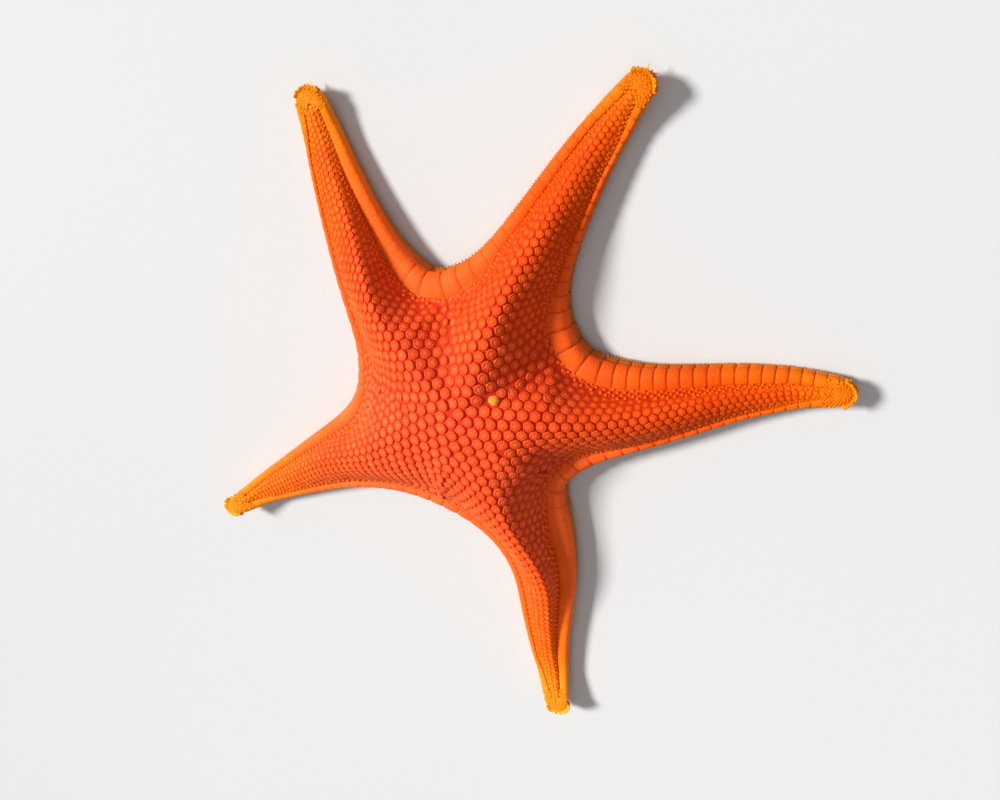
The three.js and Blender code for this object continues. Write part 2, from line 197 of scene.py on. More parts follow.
class Arm:
    """An arm, straight until `place` bends it."""

    MIDLINE_STEP = 0.25
    SLOPE_STEP = 0.08
    ARC_STEPS = 32

    def __init__(self, cell, spec, right_spec):
        self.cell = cell
        for key in ("name", "azimuth", "length", "sweep", "curl", "lean", "lift", "plates"):
            setattr(self, key, spec[key])
        self.sides = [Side(1, spec, spec), Side(-1, spec, right_spec)]
        self.bend_start = max(side.start for side in self.sides)
        x = np.arange(0, self.length + 6, self.MIDLINE_STEP)
        turn = self.heading(x + 0.5 * self.MIDLINE_STEP)
        steps = self.MIDLINE_STEP * np.stack([np.cos(turn), np.sin(turn)], 1)
        self.mid_x = x
        self.mid = np.array(DISC_CENTRE) + np.cumsum(steps, 0) - steps
        self.arcs = {side.sign: self.measure_back(side) for side in self.sides}

    def heading(self, x):
        sweep = self.sweep * ease((x - self.bend_start) / (SWEEP_SHARE * self.length))
        curl = self.curl * ease((x - CURL_FROM * self.length) / ((1 - CURL_FROM) * self.length))
        return np.radians(self.azimuth + sweep + curl)

    def ridge(self, x):
        fall = np.cos(0.5 * math.pi * np.clip(x / self.length, 0, 1)) ** RIDGE_FALL
        shut = ease((self.length - FRAME_WIDTH_AT_TIP - x) / TIP_ROUNDING)
        open_height = lerp(RIDGE_END_HEIGHT, DISC_HEIGHT, fall)
        return lerp(FRAME_HEIGHT_AT_TIP - FRAME_RIM, open_height, shut)

    def on_side(self, y, left, right):
        return np.where(y >= 0, left, right)

    def edge(self, x, y):
        """Half width of the back at x, on the side that y lies on."""
        return self.on_side(y, *(side.inner_half_width(x) for side in self.sides))

    def share_across(self, x, y):
        """0 on the midline, 1 at the edge of the back."""
        return np.clip(np.abs(y) / np.maximum(self.edge(x, y), TINY), 0, 1)

    def height(self, x, y):
        """Height of the back above the floor."""
        s = self.share_across(x, y)
        return self.rounded_end(x, self.on_side(y, *(self._height_on(side, x, s)
                                                     for side in self.sides)))

    def _height_on(self, side, x, s):
        out = x / side.inner[0, 0]
        beside = side.frame_height(x) - FRAME_RIM
        valley = beside + (DISC_HEIGHT - beside) * (1 - np.minimum(out, 1) ** side.fullness)
        roundness = lerp(*ROUNDNESS, ease((out - ROUNDNESS_FROM) / ROUNDNESS_OVER))
        return valley + (self.ridge(x) - valley) * (1 - s * s) ** roundness

    def rounded_end(self, x, z):
        into_end = np.clip(1 - (self.length - x) / TIP_ROUNDING, 0, 1)
        return lerp(TIP_MIDDLE * RIDGE_END_HEIGHT, z, np.sqrt(1 - 0.5 * into_end**2))

    def frame_at(self, x, y):
        """Points on the back and their unit directions along the arm, across it and outward."""
        eps = self.SLOPE_STEP
        z = self.height(x, y)
        slope_x = (self.height(x + eps, y) - self.height(x - eps, y)) / (2 * eps)
        slope_y = (self.height(x, y + eps) - self.height(x, y - eps)) / (2 * eps)
        one, zero = np.ones_like(z), np.zeros_like(z)
        up = unit(np.stack([-slope_x, -slope_y, one], -1))
        ahead = unit(np.stack([one, zero, slope_x], -1))
        return np.stack([x, y, z], -1), ahead, np.cross(up, ahead), up

    def measure_back(self, side):
        """Distances over the back from the midline: a row for each mm of x, a column for each
        even step to the edge. And the steepness at the edge of each row."""
        x = np.arange(0, self.length + 1)[:, None]
        edge = side.inner_half_width(x)
        y = edge * np.linspace(0, 1, self.ARC_STEPS + 1)
        z = self._height_on(side, x + 0 * y, np.clip(y / np.maximum(edge, TINY), 0, 1))
        steps = np.hypot(np.diff(y, axis=1), np.diff(z, axis=1))
        arcs = np.concatenate([0 * x, np.cumsum(steps, 1)], 1)
        steep = (arcs[:, -1] - arcs[:, -4]) / np.maximum(y[:, -1] - y[:, -4], 1e-3)
        return arcs, np.maximum(steep, 1)

    def steepness(self, x, y):
        """How much longer the back is than its plan, going across near the plates at x."""
        row = np.clip(np.round(x), 0, self.length).astype(int)
        return self.on_side(y, *(self.arcs[sign][1][row] for sign in (1, -1)))

    def unrolled(self, x, y):
        """Distance over the back from the midline to (x, y), left positive."""
        row = np.clip(np.round(x), 0, self.length).astype(int)
        place = self.share_across(x, y) * self.ARC_STEPS
        column = np.minimum(place.astype(int), self.ARC_STEPS - 1)
        left, right = (lerp(arcs[row, column], arcs[row, column + 1], place - column)
                       for arcs, _ in (self.arcs[1], self.arcs[-1]))
        return self.on_side(y, left, -right)

    def across_at(self, side, x, arc):
        """The half width y that lies `arc` over the back, that distance, and that of the edge."""
        arcs = self.arcs[side.sign][0][int(round(x))]
        share = np.interp(arc, arcs, np.linspace(0, 1, self.ARC_STEPS + 1))
        return float(share * side.inner_half_width(np.float64(x))), arc, float(arcs[-1])

    def place(self, p):
        """Bends points of the straight arm (..., 3) into the pose."""
        x, y, z = p[..., 0], p[..., 1], p[..., 2]
        angle = self.heading(x)
        across = y + self.lean * z * ease((x - self.bend_start) / (LEAN_SHARE * self.length))
        lift = self.lift * ease((x - self.length + LIFT_LENGTH) / LIFT_LENGTH)
        behind = np.minimum(x, 0)
        start_x = np.interp(x, self.mid_x, self.mid[:, 0]) + behind * np.cos(angle)
        start_y = np.interp(x, self.mid_x, self.mid[:, 1]) + behind * np.sin(angle)
        return np.stack([start_x - across * np.sin(angle), start_y + across * np.cos(angle),
                         z + lift], -1)


def build_arms():
    return [Arm(i, spec, ARMS[i - 1]) for i, spec in enumerate(ARMS)]


# ---- The skin ----
DISC_ROWS = 26
PLATE_PHASES = np.array([0, 0.03, 0.07, 0.2, 0.5, 0.8, 0.93, 0.97])
BACK_COLUMNS = 10
FRAME_COLUMNS = 18
BELLY_COLUMNS = 7
FIRST_PLATE_SHARE = 0.76  # a plate near the notch is longer than the mean by 1 over this
COAT_DEPTH_AT_CENTRE = 0.55  # how far the skin lies under the tabulae's tops
COAT_DEPTH_AT_TIP = 0.28
BESIDE_PLATES = 0.35  # share of that depth at the plates
PLATE_TINT_BESIDE = (0.25, 0.7, 1, 1)  # how much of the plates' colour the last columns have
BELLY_COAT = 0.45  # how far it lies above the flat tops of the granules underneath
JOINT_DEPTH = 0.16
JOINT_HALF_WIDTH = 0.045  # as a share of a plate's length
SCALLOP = 0.2  # how far a plate bulges over its ends
DEEPEST_CUT = 0.1  # into the outline, as a share of the plates' width
PLAIN_END = 6  # length at the tip over which the joints run out
LIP_SHARE, WALL_SHARE = 0.75, 0.55  # furthest out the groove's lip and wall may stand
GROOVE_ROOF = (0.85, 0.98, 1)  # heights of the groove's last columns, as shares of its depth
MERGE_GRID = 500  # points fall together within 1 mm over this
# Profile of the plates, from the back to the floor: share of the frame's width in from the
# outline, share of its height.
FRAME_PROFILE = np.array([
    (1, 0.93), (0.9, 0.96), (0.6, 0.98), (0.3, 0.95), (0.08, 0.83), (0, 0.66), (0.05, 0.54),
    (0.1, 0.49), (0.05, 0.45), (0, 0.31), (0.06, 0.12), (0.22, 0),
])


def coat_depth(arm, x):
    return lerp(COAT_DEPTH_AT_CENTRE, COAT_DEPTH_AT_TIP, np.clip(x / arm.length, 0, 1))


def length_share(plates):
    """The share of the band's length at which a share of its plates is passed."""
    length = np.linspace(0, 1, 400)
    counts = FIRST_PLATE_SHARE * length + (1 - FIRST_PLATE_SHARE) * length**2
    return np.interp(plates, counts, length)


def even_shares(n):
    """Shares of the band's length for n places, as many to each plate."""
    return length_share((np.arange(n) + 0.5) / n)


def mouth_height(x, y):
    return MOUTH_DEPTH * (1 - ease((np.hypot(x, y) - MOUTH_RADIUS) / MOUTH_SLOPE))


def frame_profile_points():
    t = np.linspace(0, len(FRAME_PROFILE) - 1, FRAME_COLUMNS + 1)[1:]
    base = np.arange(len(FRAME_PROFILE))
    return np.stack([np.interp(t, base, FRAME_PROFILE[:, k]) for k in (0, 1)], 1)


def joint_groove(phase):
    """1 in the groove between two plates, 0 over most of a plate."""
    return np.exp(-((np.minimum(phase, 1 - phase) / JOINT_HALF_WIDTH) ** 2))


def groove_half_width(arm, x):
    along = np.clip(x / arm.sides[0].last, 0, 1)
    return lerp(GROOVE_HALF_WIDTH, GROOVE_HALF_WIDTH_AT_TIP, along)


def groove_depth(arm, x):
    return GROOVE_DEPTH * (1 - np.clip(x / arm.sides[0].last, 0, 1)**2)


def row_shares(arm):
    """For each row of skin points: share of the way to the notch, share of the band of plates
    passed after it, and the phase within a plate."""
    numbers = (np.arange(arm.plates)[:, None] + PLATE_PHASES[None, :]).ravel()
    numbers = np.append(numbers, arm.plates)
    in_disc = np.linspace(0, 1, DISC_ROWS, endpoint=False)
    reach = np.concatenate([in_disc, np.ones(len(numbers))])
    band = np.concatenate([np.zeros(DISC_ROWS), length_share(numbers / arm.plates)])
    return reach, band, np.concatenate([np.full(DISC_ROWS, 0.5), numbers % 1])


def back_lines(arm, side, mid, inner, in_disc):
    """Over the back, from its midline to the plates or to the line between two arms."""
    s = np.sin(0.5 * math.pi * np.linspace(0, 1, BACK_COLUMNS + 1))
    x, y = lerp(mid, inner[:, :1], s), s * inner[:, 1:]
    z = arm.height(x, side.sign * y)
    return x, y, z - coat_depth(arm, x) * np.where((s < 1) | in_disc, 1, BESIDE_PLATES)


def frame_lines(arm, side, band_share, phase):
    """Over the marginal plates to the floor, and how far into a joint each row lies."""
    _, outer, normal, width = side.band(band_share)
    in_from_outline, rise = frame_profile_points().T
    taper = np.clip((arm.length - outer[:, :1]) / PLAIN_END, 0, 1)
    taper = taper * lerp(1, side.joints, ease(5 * band_share))[:, None]
    groove = joint_groove(phase)[:, None] * taper
    bulge = SCALLOP * taper * np.abs(2 * phase - 1)[:, None] ** 4
    cut = np.minimum(JOINT_DEPTH * groove + bulge, DEEPEST_CUT * width[:, None])
    inset = in_from_outline * width[:, None] + cut * (1 - in_from_outline)
    x = outer[:, :1] - inset * normal[:, :1]
    y = outer[:, 1:] - inset * normal[:, 1:]
    z = rise * (side.frame_height(outer[:, :1]) - JOINT_DEPTH * groove - bulge)
    return x, y, np.maximum(arm.rounded_end(x, z), BELLY_COAT), groove


def belly_lines(arm, mid, foot_x, foot_y):
    """From the foot of the plates over the belly to the middle of the groove."""
    lip_y = np.minimum(groove_half_width(arm, mid) + GROOVE_LIP, LIP_SHARE * foot_y)
    wall_y = np.minimum(groove_half_width(arm, mid), WALL_SHARE * foot_y)
    flat_y = lerp(foot_y, lip_y, np.linspace(0, 1, BELLY_COLUMNS + 1)[1:])
    y = np.concatenate([flat_y, wall_y, 0.5 * wall_y, 0 * wall_y], 1)
    z = np.concatenate([0 * flat_y, groove_depth(arm, mid) * GROOVE_ROOF], 1)
    x = lerp(mid, foot_x, np.clip(y / np.maximum(foot_y, TINY), 0, 1))
    z = np.maximum(z, np.maximum(mouth_height(x, y), BELLY_COAT))
    return x, y, arm.rounded_end(x, z)


def half_lines(arm, side):
    """Rows of points from the midline of the back over the plates to the middle of the groove.

    Returns the points (rows, columns, 3), named values at each of them, and their places on the
    unrolled skin.
    """
    reach, band_share, phase = row_shares(arm)
    in_disc = (reach < 1)[:, None]
    inner_xs = [s.band(band_share)[0][:, 0] for s in arm.sides]
    mid = (0.5 * (inner_xs[0] + inner_xs[1]) * reach)[:, None]
    inner = side.band(band_share)[0] * reach[:, None]

    back = back_lines(arm, side, mid, inner, in_disc)
    *plates, groove = frame_lines(arm, side, band_share, phase)
    under = np.maximum(mouth_height(inner[:, :1], inner[:, 1:]), BELLY_COAT)
    drop = np.linspace(0, 1, FRAME_COLUMNS + 1)[1:]
    wall = inner[:, :1], inner[:, 1:], lerp(back[2][:, -1:], under, drop)
    frame = [np.where(in_disc, short, past) for short, past in zip(wall, plates)]
    belly = belly_lines(arm, mid, frame[0][:, -1:], frame[1][:, -1:])
    xs, ys, zs = (np.concatenate(parts, 1) for parts in zip(back, frame, belly))
    points = np.stack([xs, side.sign * ys, zs], -1)

    first = BACK_COLUMNS + 1
    on_frame, rise = np.zeros(xs.shape), np.zeros(xs.shape)
    on_frame[:, first - len(PLATE_TINT_BESIDE):first] = PLATE_TINT_BESIDE
    on_frame[:, first:first + FRAME_COLUMNS] = 1
    rise[:, :first] = 1
    rise[:, first:first + FRAME_COLUMNS] = frame_profile_points()[:, 1]
    steps = np.linalg.norm(np.diff(points, axis=1), axis=2)
    unrolled = np.concatenate([0 * mid, np.cumsum(steps, 1)], 1)
    values = {"along": np.clip(xs / arm.length, 0, 1), "plate": on_frame * ~in_disc,
              "joint": on_frame * groove, "rise": rise}
    return points, values, np.stack([xs, side.sign * unrolled], -1)


def skin_triangles(rows, columns, offset, flip):
    """Two triangles for each cell of a grid of half lines. Short of the notch there are a back and
    a belly but no edge between them."""
    i, j = np.meshgrid(np.arange(rows - 1), np.arange(columns - 1), indexing="ij")
    on_edge = (j >= BACK_COLUMNS) & (j < BACK_COLUMNS + FRAME_COLUMNS)
    a = (i * columns + j)[~(on_edge & (i < DISC_ROWS))] + offset
    b, c, d = a + columns, a + columns + 1, a + 1
    triangles = np.concatenate([np.stack([a, b, c], 1), np.stack([a, c, d], 1)])
    return triangles[:, ::-1] if flip else triangles


def merge_points(points, triangles):
    """Joins points in the same place. Returns the kept points' indices, the new triangles, and
    which of them are more than a line."""
    _, first, merged = np.unique(np.round(points * MERGE_GRID).astype(np.int64), axis=0,
                                 return_index=True, return_inverse=True)
    triangles = merged.ravel()[triangles]
    a, b, c = triangles.T
    return first, triangles, (a != b) & (b != c) & (c != a)


def skin_piece(arms):
    """The whole skin as one closed surface, with its values and unwrap."""
    points, triangles, uvs, values, offset = [], [], [], {}, 0
    for arm in arms:
        for side in arm.sides:
            grid, named, unrolled = half_lines(arm, side)
            rows, columns = grid.shape[:2]
            points.append(arm.place(grid.reshape(-1, 3)))
            triangles.append(skin_triangles(rows, columns, offset, side.sign < 0))
            uvs.append(unwrap(arm.cell, unrolled.reshape(-1, 2)))
            for key, value in named.items():
                values.setdefault(key, []).append(value.ravel())
            offset += rows * columns
    points, triangles, uvs = (np.concatenate(parts) for parts in (points, triangles, uvs))
    first, joined, keep = merge_points(points, triangles)
    values = {key: np.concatenate(parts)[first] for key, parts in values.items()}
    return make_object("skin", points[first], joined[keep], uvs[triangles[keep]], values)


# ---- The unwrap: arms in a grid of cells, each unrolled about the midline of its back ----
UNWRAP_CELL = (105.0, 100.0)  # mm of skin that one cell holds
UNWRAP_COLUMNS, UNWRAP_ROWS = 2, 3
UNWRAP_START = 0.02  # of a cell, before the disc's centre
UNWRAP_BELLY = 38.0  # where the belly lies, on either side of the midline


def unwrap(cell, unrolled):
    """Place on the unwrap of points given by their x and their distance across over the skin."""
    column, row = cell % UNWRAP_COLUMNS, cell // UNWRAP_COLUMNS
    u = (column + UNWRAP_START + unrolled[..., 0] / UNWRAP_CELL[0]) / UNWRAP_COLUMNS
    v = (row + 0.5 + unrolled[..., 1] / UNWRAP_CELL[1]) / UNWRAP_ROWS
    return np.stack([u, v], -1)


# ---- Making Blender meshes ----
def make_object(name, points, triangles, uvs, values):
    """A smooth mesh from points in mm. uvs hold one place for each triangle corner."""
    mesh = bpy.data.meshes.new(name)
    mesh.vertices.add(len(points))
    mesh.vertices.foreach_set("co", (points * MM).astype(np.float32).ravel())
    mesh.loops.add(3 * len(triangles))
    mesh.loops.foreach_set("vertex_index", triangles.astype(np.int32).ravel())
    mesh.polygons.add(len(triangles))
    mesh.polygons.foreach_set("loop_start", np.arange(0, 3 * len(triangles), 3, dtype=np.int32))
    mesh.update(calc_edges=True)
    mesh.shade_smooth()
    layer = mesh.uv_layers.new(name="OFBake")
    layer.data.foreach_set("uv", uvs.astype(np.float32).ravel())
    for key, value in values.items():
        attribute = mesh.attributes.new(key, "FLOAT", "POINT")
        attribute.data.foreach_set("value", value.astype(np.float32))
    piece = bpy.data.objects.new(name, mesh)
    bpy.context.scene.collection.objects.link(piece)
    return piece


PATCH = 0.0015  # half the width of one small part's patch on the unwrap
LOWEST = 0.02  # above the floor


class Gatherer:
    """Collects copies of small parts into one mesh."""

    def __init__(self):
        self.points, self.faces, self.uvs, self.values, self.count = [], [], [], {}, 0

    def add(self, arm, roots, points, faces, local, **values):
        """Adds n parts: points (n, m, 3) on the straight arm, faces (f, 3) of each, their roots
        (n, 2) on the unrolled skin, and `local` (n, m, 2), where each point lies on its patch."""
        n, m = points.shape[:2]
        starts = self.count + m * np.arange(n)
        placed = arm.place(points).reshape(-1, 3)
        placed[:, 2] = np.maximum(placed[:, 2], LOWEST)
        self.points.append(placed)
        self.faces.append((starts[:, None, None] + faces[None]).reshape(-1, 3))
        spread = PATCH * local / np.maximum(np.abs(local).max(axis=(1, 2), keepdims=True), TINY)
        self.uvs.append((unwrap(arm.cell, roots)[:, None, :] + spread).reshape(-1, 2))
        values["along"] = np.clip(points[..., 0] / arm.length, 0, 1)
        for key, value in values.items():
            self.values.setdefault(key, []).append(np.broadcast_to(value, (n, m)).ravel())
        self.count += n * m

    def make(self, name):
        points, faces = np.concatenate(self.points), np.concatenate(self.faces)
        values = {key: np.concatenate(parts) for key, parts in self.values.items()}
        return make_object(name, points, faces, np.concatenate(self.uvs)[faces], values)


# ---- The field of tabulae ----
SPACING_ALONG = ([0, 0.2, 0.4, 0.6, 0.8, 1.0], [2.85, 2.65, 2.15, 1.75, 1.4, 1.05])
EDGE_LOSS = 0.24  # share of the spacing lost at the edge of the back, beside narrow plates
EDGE_LOSS_BY_WIDTH = 0.03  # more of it per mm that the plates at the notch are wider than:
NARROW_PLATE = 2.6
ROW_SQUEEZE = 0.88
ROW_CLOSING = 0.021  # how much closer each row lies to the last, going out
ROWS = 16
EDGE_FROM = 24  # from the disc's centre, where that loss is whole
FIRST_PLACE = 1.6
SEED_JITTER = 0.07
KEEL_GAP = 1.03  # how much more room a tabula on the midline takes
RELAX_ROUNDS = 14
PACKING, PUSH = 1.08, 0.22  # distance they push for, as a share of what they want, and how hard
CROWDED = 0.62  # share of the wanted distance under which one of a pair goes
ROOMY = 0.72  # share of the wanted distance from all others at which one more fits
EDGE_ROOM = 0.15  # share of a spacing kept off the marginal plates
END_ROOM = 1.2
SIEVE_GAP = 2.6  # room of the sieve plate


def spacing(arm, x, y):
    along = np.clip(x / arm.length, 0, 1)
    loss = [EDGE_LOSS + EDGE_LOSS_BY_WIDTH * (side.notch_width - NARROW_PLATE)
            for side in arm.sides]
    at_edge = arm.on_side(y, *loss) * ease(x / EDGE_FROM) * arm.share_across(x, y) ** 2
    return np.interp(along, *SPACING_ALONG) * (1 - at_edge)


def row_offset(arm, row, x):
    """Distance of a row from the midline at x, measured over the curve of the back."""
    pitch = ROW_SQUEEZE * np.interp(x / arm.length, *SPACING_ALONG)
    return pitch * (row - ROW_CLOSING * row * row)


def row_places(arm, side, row):
    places, x = [], FIRST_PLACE + 0.5 * SPACING_ALONG[1][0] * (row % 2)
    while x < arm.length - END_ROOM:
        y, arc, whole = arm.across_at(side, x, row_offset(arm, row, x))
        step = float(spacing(arm, np.float64(x), np.float64(side.sign * y)))
        if row == 0 or arc < whole - EDGE_ROOM * step * (x > side.inner[0, 0]):
            places.append((x, side.sign * y))
        x += step
    return places


def seed_rows(arm):
    """Starting places of an arm's tabulae, in rows along the arm."""
    return np.array([place for side in arm.sides
                     for row in range(int(side.sign < 0), ROWS)
                     for place in row_places(arm, side, row)])


def sieve_place(arms):
    """The sieve plate's place (x, y) on the first arm, on the line between it and the last."""
    sector = arms[0].sides[1].sector
    return SIEVE_DISTANCE * np.array([math.cos(sector), -math.sin(sector)])


class Field:
    """All tabulae, as places (arm, x, y) that push each other to an even spacing. The first is
    the sieve plate, which stays where it is."""

    def __init__(self, arms, rng):
        self.arms = arms
        seeds = [seed_rows(arm) for arm in arms]
        self.arm = np.concatenate([[0]] + [np.full(len(s), i) for i, s in enumerate(seeds)])
        self.xy = np.concatenate([[sieve_place(arms)]] + seeds)
        self.keel = np.abs(self.xy[:, 1]) < 1e-6
        loose = ~self.keel
        loose[0] = False
        self.xy = self.xy + rng.normal(0, SEED_JITTER, self.xy.shape) * loose[:, None]
        self.keep_uncrowded()
        self.relax(RELAX_ROUNDS)
        self.keep_uncrowded()
        self.fill_holes()
        self.relax(RELAX_ROUNDS)
        self.measure()

    def measure(self):
        """Finds each place on the back, turned to the star, and the room it wants."""
        self.p, self.gap = self.locate(self.arm, self.xy)
        self.gap = np.where(self.keel, KEEL_GAP * self.gap, self.gap)
        self.gap[0] = SIEVE_GAP

    def locate(self, arm_of, xy):
        p, gap = np.zeros((len(xy), 3)), np.zeros(len(xy))
        for i, arm in enumerate(self.arms):
            m = arm_of == i
            x, y = xy[m].T
            p[m] = turned(np.stack([x, y, arm.height(x, y)], 1), arm.azimuth)
            gap[m] = spacing(arm, x, y)
        return p, gap

    def pairs(self):
        apart = self.p[:, None, :] - self.p[None, :, :]
        distance = np.linalg.norm(apart, axis=2)
        np.fill_diagonal(distance, FAR)
        return apart, distance, 0.5 * (self.gap[:, None] + self.gap[None, :])

    def keep_uncrowded(self):
        """Of two places much too near each other, keeps the one of higher rank."""
        self.measure()
        _, distance, wanted = self.pairs()
        rank = np.arange(len(self.xy)) + len(self.xy) * ~self.keel
        rank[0] = -1
        beaten = (distance < CROWDED * wanted) & (rank[None, :] < rank[:, None])
        keep = ~beaten.any(1)
        self.arm, self.xy, self.keel = self.arm[keep], self.xy[keep], self.keel[keep]

    def limits(self, arm, xy):
        """Brings places of one arm inside its back."""
        x = np.clip(xy[:, 0], 0.3, arm.length - END_ROOM)
        y = xy[:, 1]
        edge = arm.edge(x, y)
        past_notch = x > arm.on_side(y, *(side.inner[0, 0] for side in arm.sides))
        room = EDGE_ROOM * spacing(arm, x, y) * past_notch / arm.steepness(x, y)
        most = np.maximum(edge - room, 0)
        return np.stack([x, np.clip(y, -most, most)], 1)

    def relax(self, rounds):
        for _ in range(rounds):
            self.measure()
            apart, distance, wanted = self.pairs()
            push = np.clip(PACKING * wanted - distance, 0, None)
            move = PUSH * (apart / distance[..., None] * push[..., None]).sum(1)
            for i, arm in enumerate(self.arms):
                m = self.arm == i
                dx, dy, _ = turned(move[m], -arm.azimuth).T
                step = np.stack([dx, dy * ~self.keel[m]], 1)
                self.xy[m] = self.limits(arm, self.xy[m] + step)
            self.xy[0] = sieve_place(self.arms)

    def fill_holes(self):
        """Adds places wherever one more fits, roomiest first."""
        self.measure()
        arm_of, xy = self.candidates()
        p, gap = self.locate(arm_of, xy)
        free = np.full(len(xy), FAR)
        for q, room in zip(self.p, self.gap):
            free = np.minimum(free, np.linalg.norm(p - q, axis=1) / (0.5 * (gap + room)))
        added = []
        while free.max() > ROOMY:
            best = int(free.argmax())
            added.append(best)
            apart = np.linalg.norm(p - p[best], axis=1)
            free = np.minimum(free, apart / (0.5 * (gap + gap[best])))
        self.arm = np.concatenate([self.arm, arm_of[added]])
        self.xy = np.concatenate([self.xy, xy[added]])
        self.keel = np.concatenate([self.keel, np.zeros(len(added), bool)])

    def candidates(self, step=0.6):
        arm_of, places = [], []
        for i, arm in enumerate(self.arms):
            reach = max(side.inner[:, 1].max() for side in arm.sides)
            x, y = np.meshgrid(np.arange(1, arm.length - END_ROOM, step),
                               np.arange(-reach, reach, step))
            xy = np.stack([x.ravel(), y.ravel()], 1)
            inside = np.abs(self.limits(arm, xy) - xy).max(1) < 1 / FAR
            places.append(xy[inside])
            arm_of.append(np.full(inside.sum(), i))
        return np.concatenate(arm_of), np.concatenate(places)


# ---- A tabula: a low rosette of granules on a flat-topped stalk ----
NEIGHBOURS = 9
LARGEST_REACH = 0.64  # as a share of its room
SMALLEST_REACH = 0.26
CARINAL_STRETCH = 0.1
TABULA_SHARE = 0.86  # of the room it has, the rest is the gap
TABULA_HEIGHT = 0.22  # as a share of its room
HEIGHT_SPREAD = (0.93, 1.07)
SINK = (-0.05, 0.03)  # how far one granule of the crown stands off the others' height
FACING = 0.25  # cosine within which a neighbour limits a tabula's reach
CORNER_SHIFTS = (4, 3, 2)  # angles over which its corners are rounded off, one after the other
CROWN_MIN, CROWN_PER_MM = 7.0, 2.2  # granules round the edge
ANGLES_PER_GRANULE = 3
# Rings of the rosette, outside in: share of the reach, height, depth of the cuts between the
# granules of the crown, height of the inner granules, painted shade in the groove inside the crown.
RINGS = np.array([
    (1.06, -0.60, 0.00, 0.00, 0.0), (1.03, 0.25, 0.05, 0.00, 0.0),
    (0.94, 0.72, 0.22, 0.00, 0.0), (0.81, 0.98, 0.24, 0.00, 0.0),
    (0.65, 0.66, 0.05, 0.02, 1.0), (0.48, 0.86, 0.00, 0.12, 0.2),
    (0.24, 0.90, 0.00, 0.04, 0.2),
])
LOBE, LOBE_MIDDLE = 0.045, 0.6  # how far the crown's granules bulge out, as a share of the reach
CROWN_FROM = 0.7  # share of the reach outside which the rings bulge
INNER_GRANULES = 6


def crown_count(gap):
    return np.round(CROWN_MIN + CROWN_PER_MM * gap).astype(int)


def reach_around(field, chosen, frame, theta, near):
    """How far each chosen tabula reaches in each direction, short of its neighbours."""
    _, ahead, across, _ = frame
    gap = field.gap[chosen]
    apart = field.p[near] - field.p[chosen][:, None, :]
    a = (apart * ahead[:, None, :]).sum(2)
    b = (apart * across[:, None, :]).sum(2)
    share = gap[:, None] / (gap[:, None] + field.gap[near])
    facing = np.cos(theta - np.arctan2(b, a)[..., None])
    limit = (np.hypot(a, b) * share)[..., None] / np.maximum(facing, FACING)
    limit = np.where(facing > FACING, limit, FAR).min(1)
    widest = 1 + CARINAL_STRETCH * field.keel[chosen][:, None] * np.sin(theta) ** 2
    reach = np.minimum(limit, LARGEST_REACH * gap[:, None] * widest)
    for shift in CORNER_SHIFTS:
        beside = np.roll(reach, shift, 1) + np.roll(reach, -shift, 1)
        reach = np.minimum(reach, (beside + reach) / 3)
    return np.maximum(TABULA_SHARE * reach, SMALLEST_REACH * gap[:, None])


def ring_triangles(rings, sides):
    """Triangles between rings of points, outer or lower first, closed by a last single point."""
    k = np.arange(sides)
    after = (k + 1) % sides
    faces = []
    for r in range(rings - 1):
        low, high = r * sides, (r + 1) * sides
        faces.append(np.stack([low + k, low + after, high + after], 1))
        faces.append(np.stack([low + k, high + after, high + k], 1))
    top = (rings - 1) * sides
    faces.append(np.stack([top + k, top + after, np.full(sides, rings * sides)], 1))
    return np.concatenate(faces)


def rosettes(count, n, rng):
    """n rosettes of `count` granules round the edge. Returns the rings' shares of the reach and
    their heights (n, rings, angles), and how much painted shade each point (rings, angles) has."""
    angle = np.arange(ANGLES_PER_GRANULE * count)
    theta = 2 * math.pi * angle / len(angle)
    phase = np.abs(2 * ((angle / ANGLES_PER_GRANULE + 0.5) % 1) - 1)  # 0 in a cut
    cut = (1 - phase) ** 2
    turn = rng.uniform(0, 2 * math.pi, n)[:, None]
    inner = np.cos(INNER_GRANULES * (theta + turn))[:, None, :]
    sink = np.repeat(rng.uniform(*SINK, (n, count)), ANGLES_PER_GRANULE, 1)[:, None, :]
    wide, high, depth, small, groove_shade = RINGS.T[:, :, None]
    out = wide * (1 + LOBE * (phase - LOBE_MIDDLE) * (wide > CROWN_FROM))
    h = (high - depth * cut + small * inner) + sink * (depth > 0.02)
    # Painted shade: darker by the depth of each cut, and in the groove inside the crown.
    return out, h, np.maximum(depth / depth.max() * cut, groove_shade)


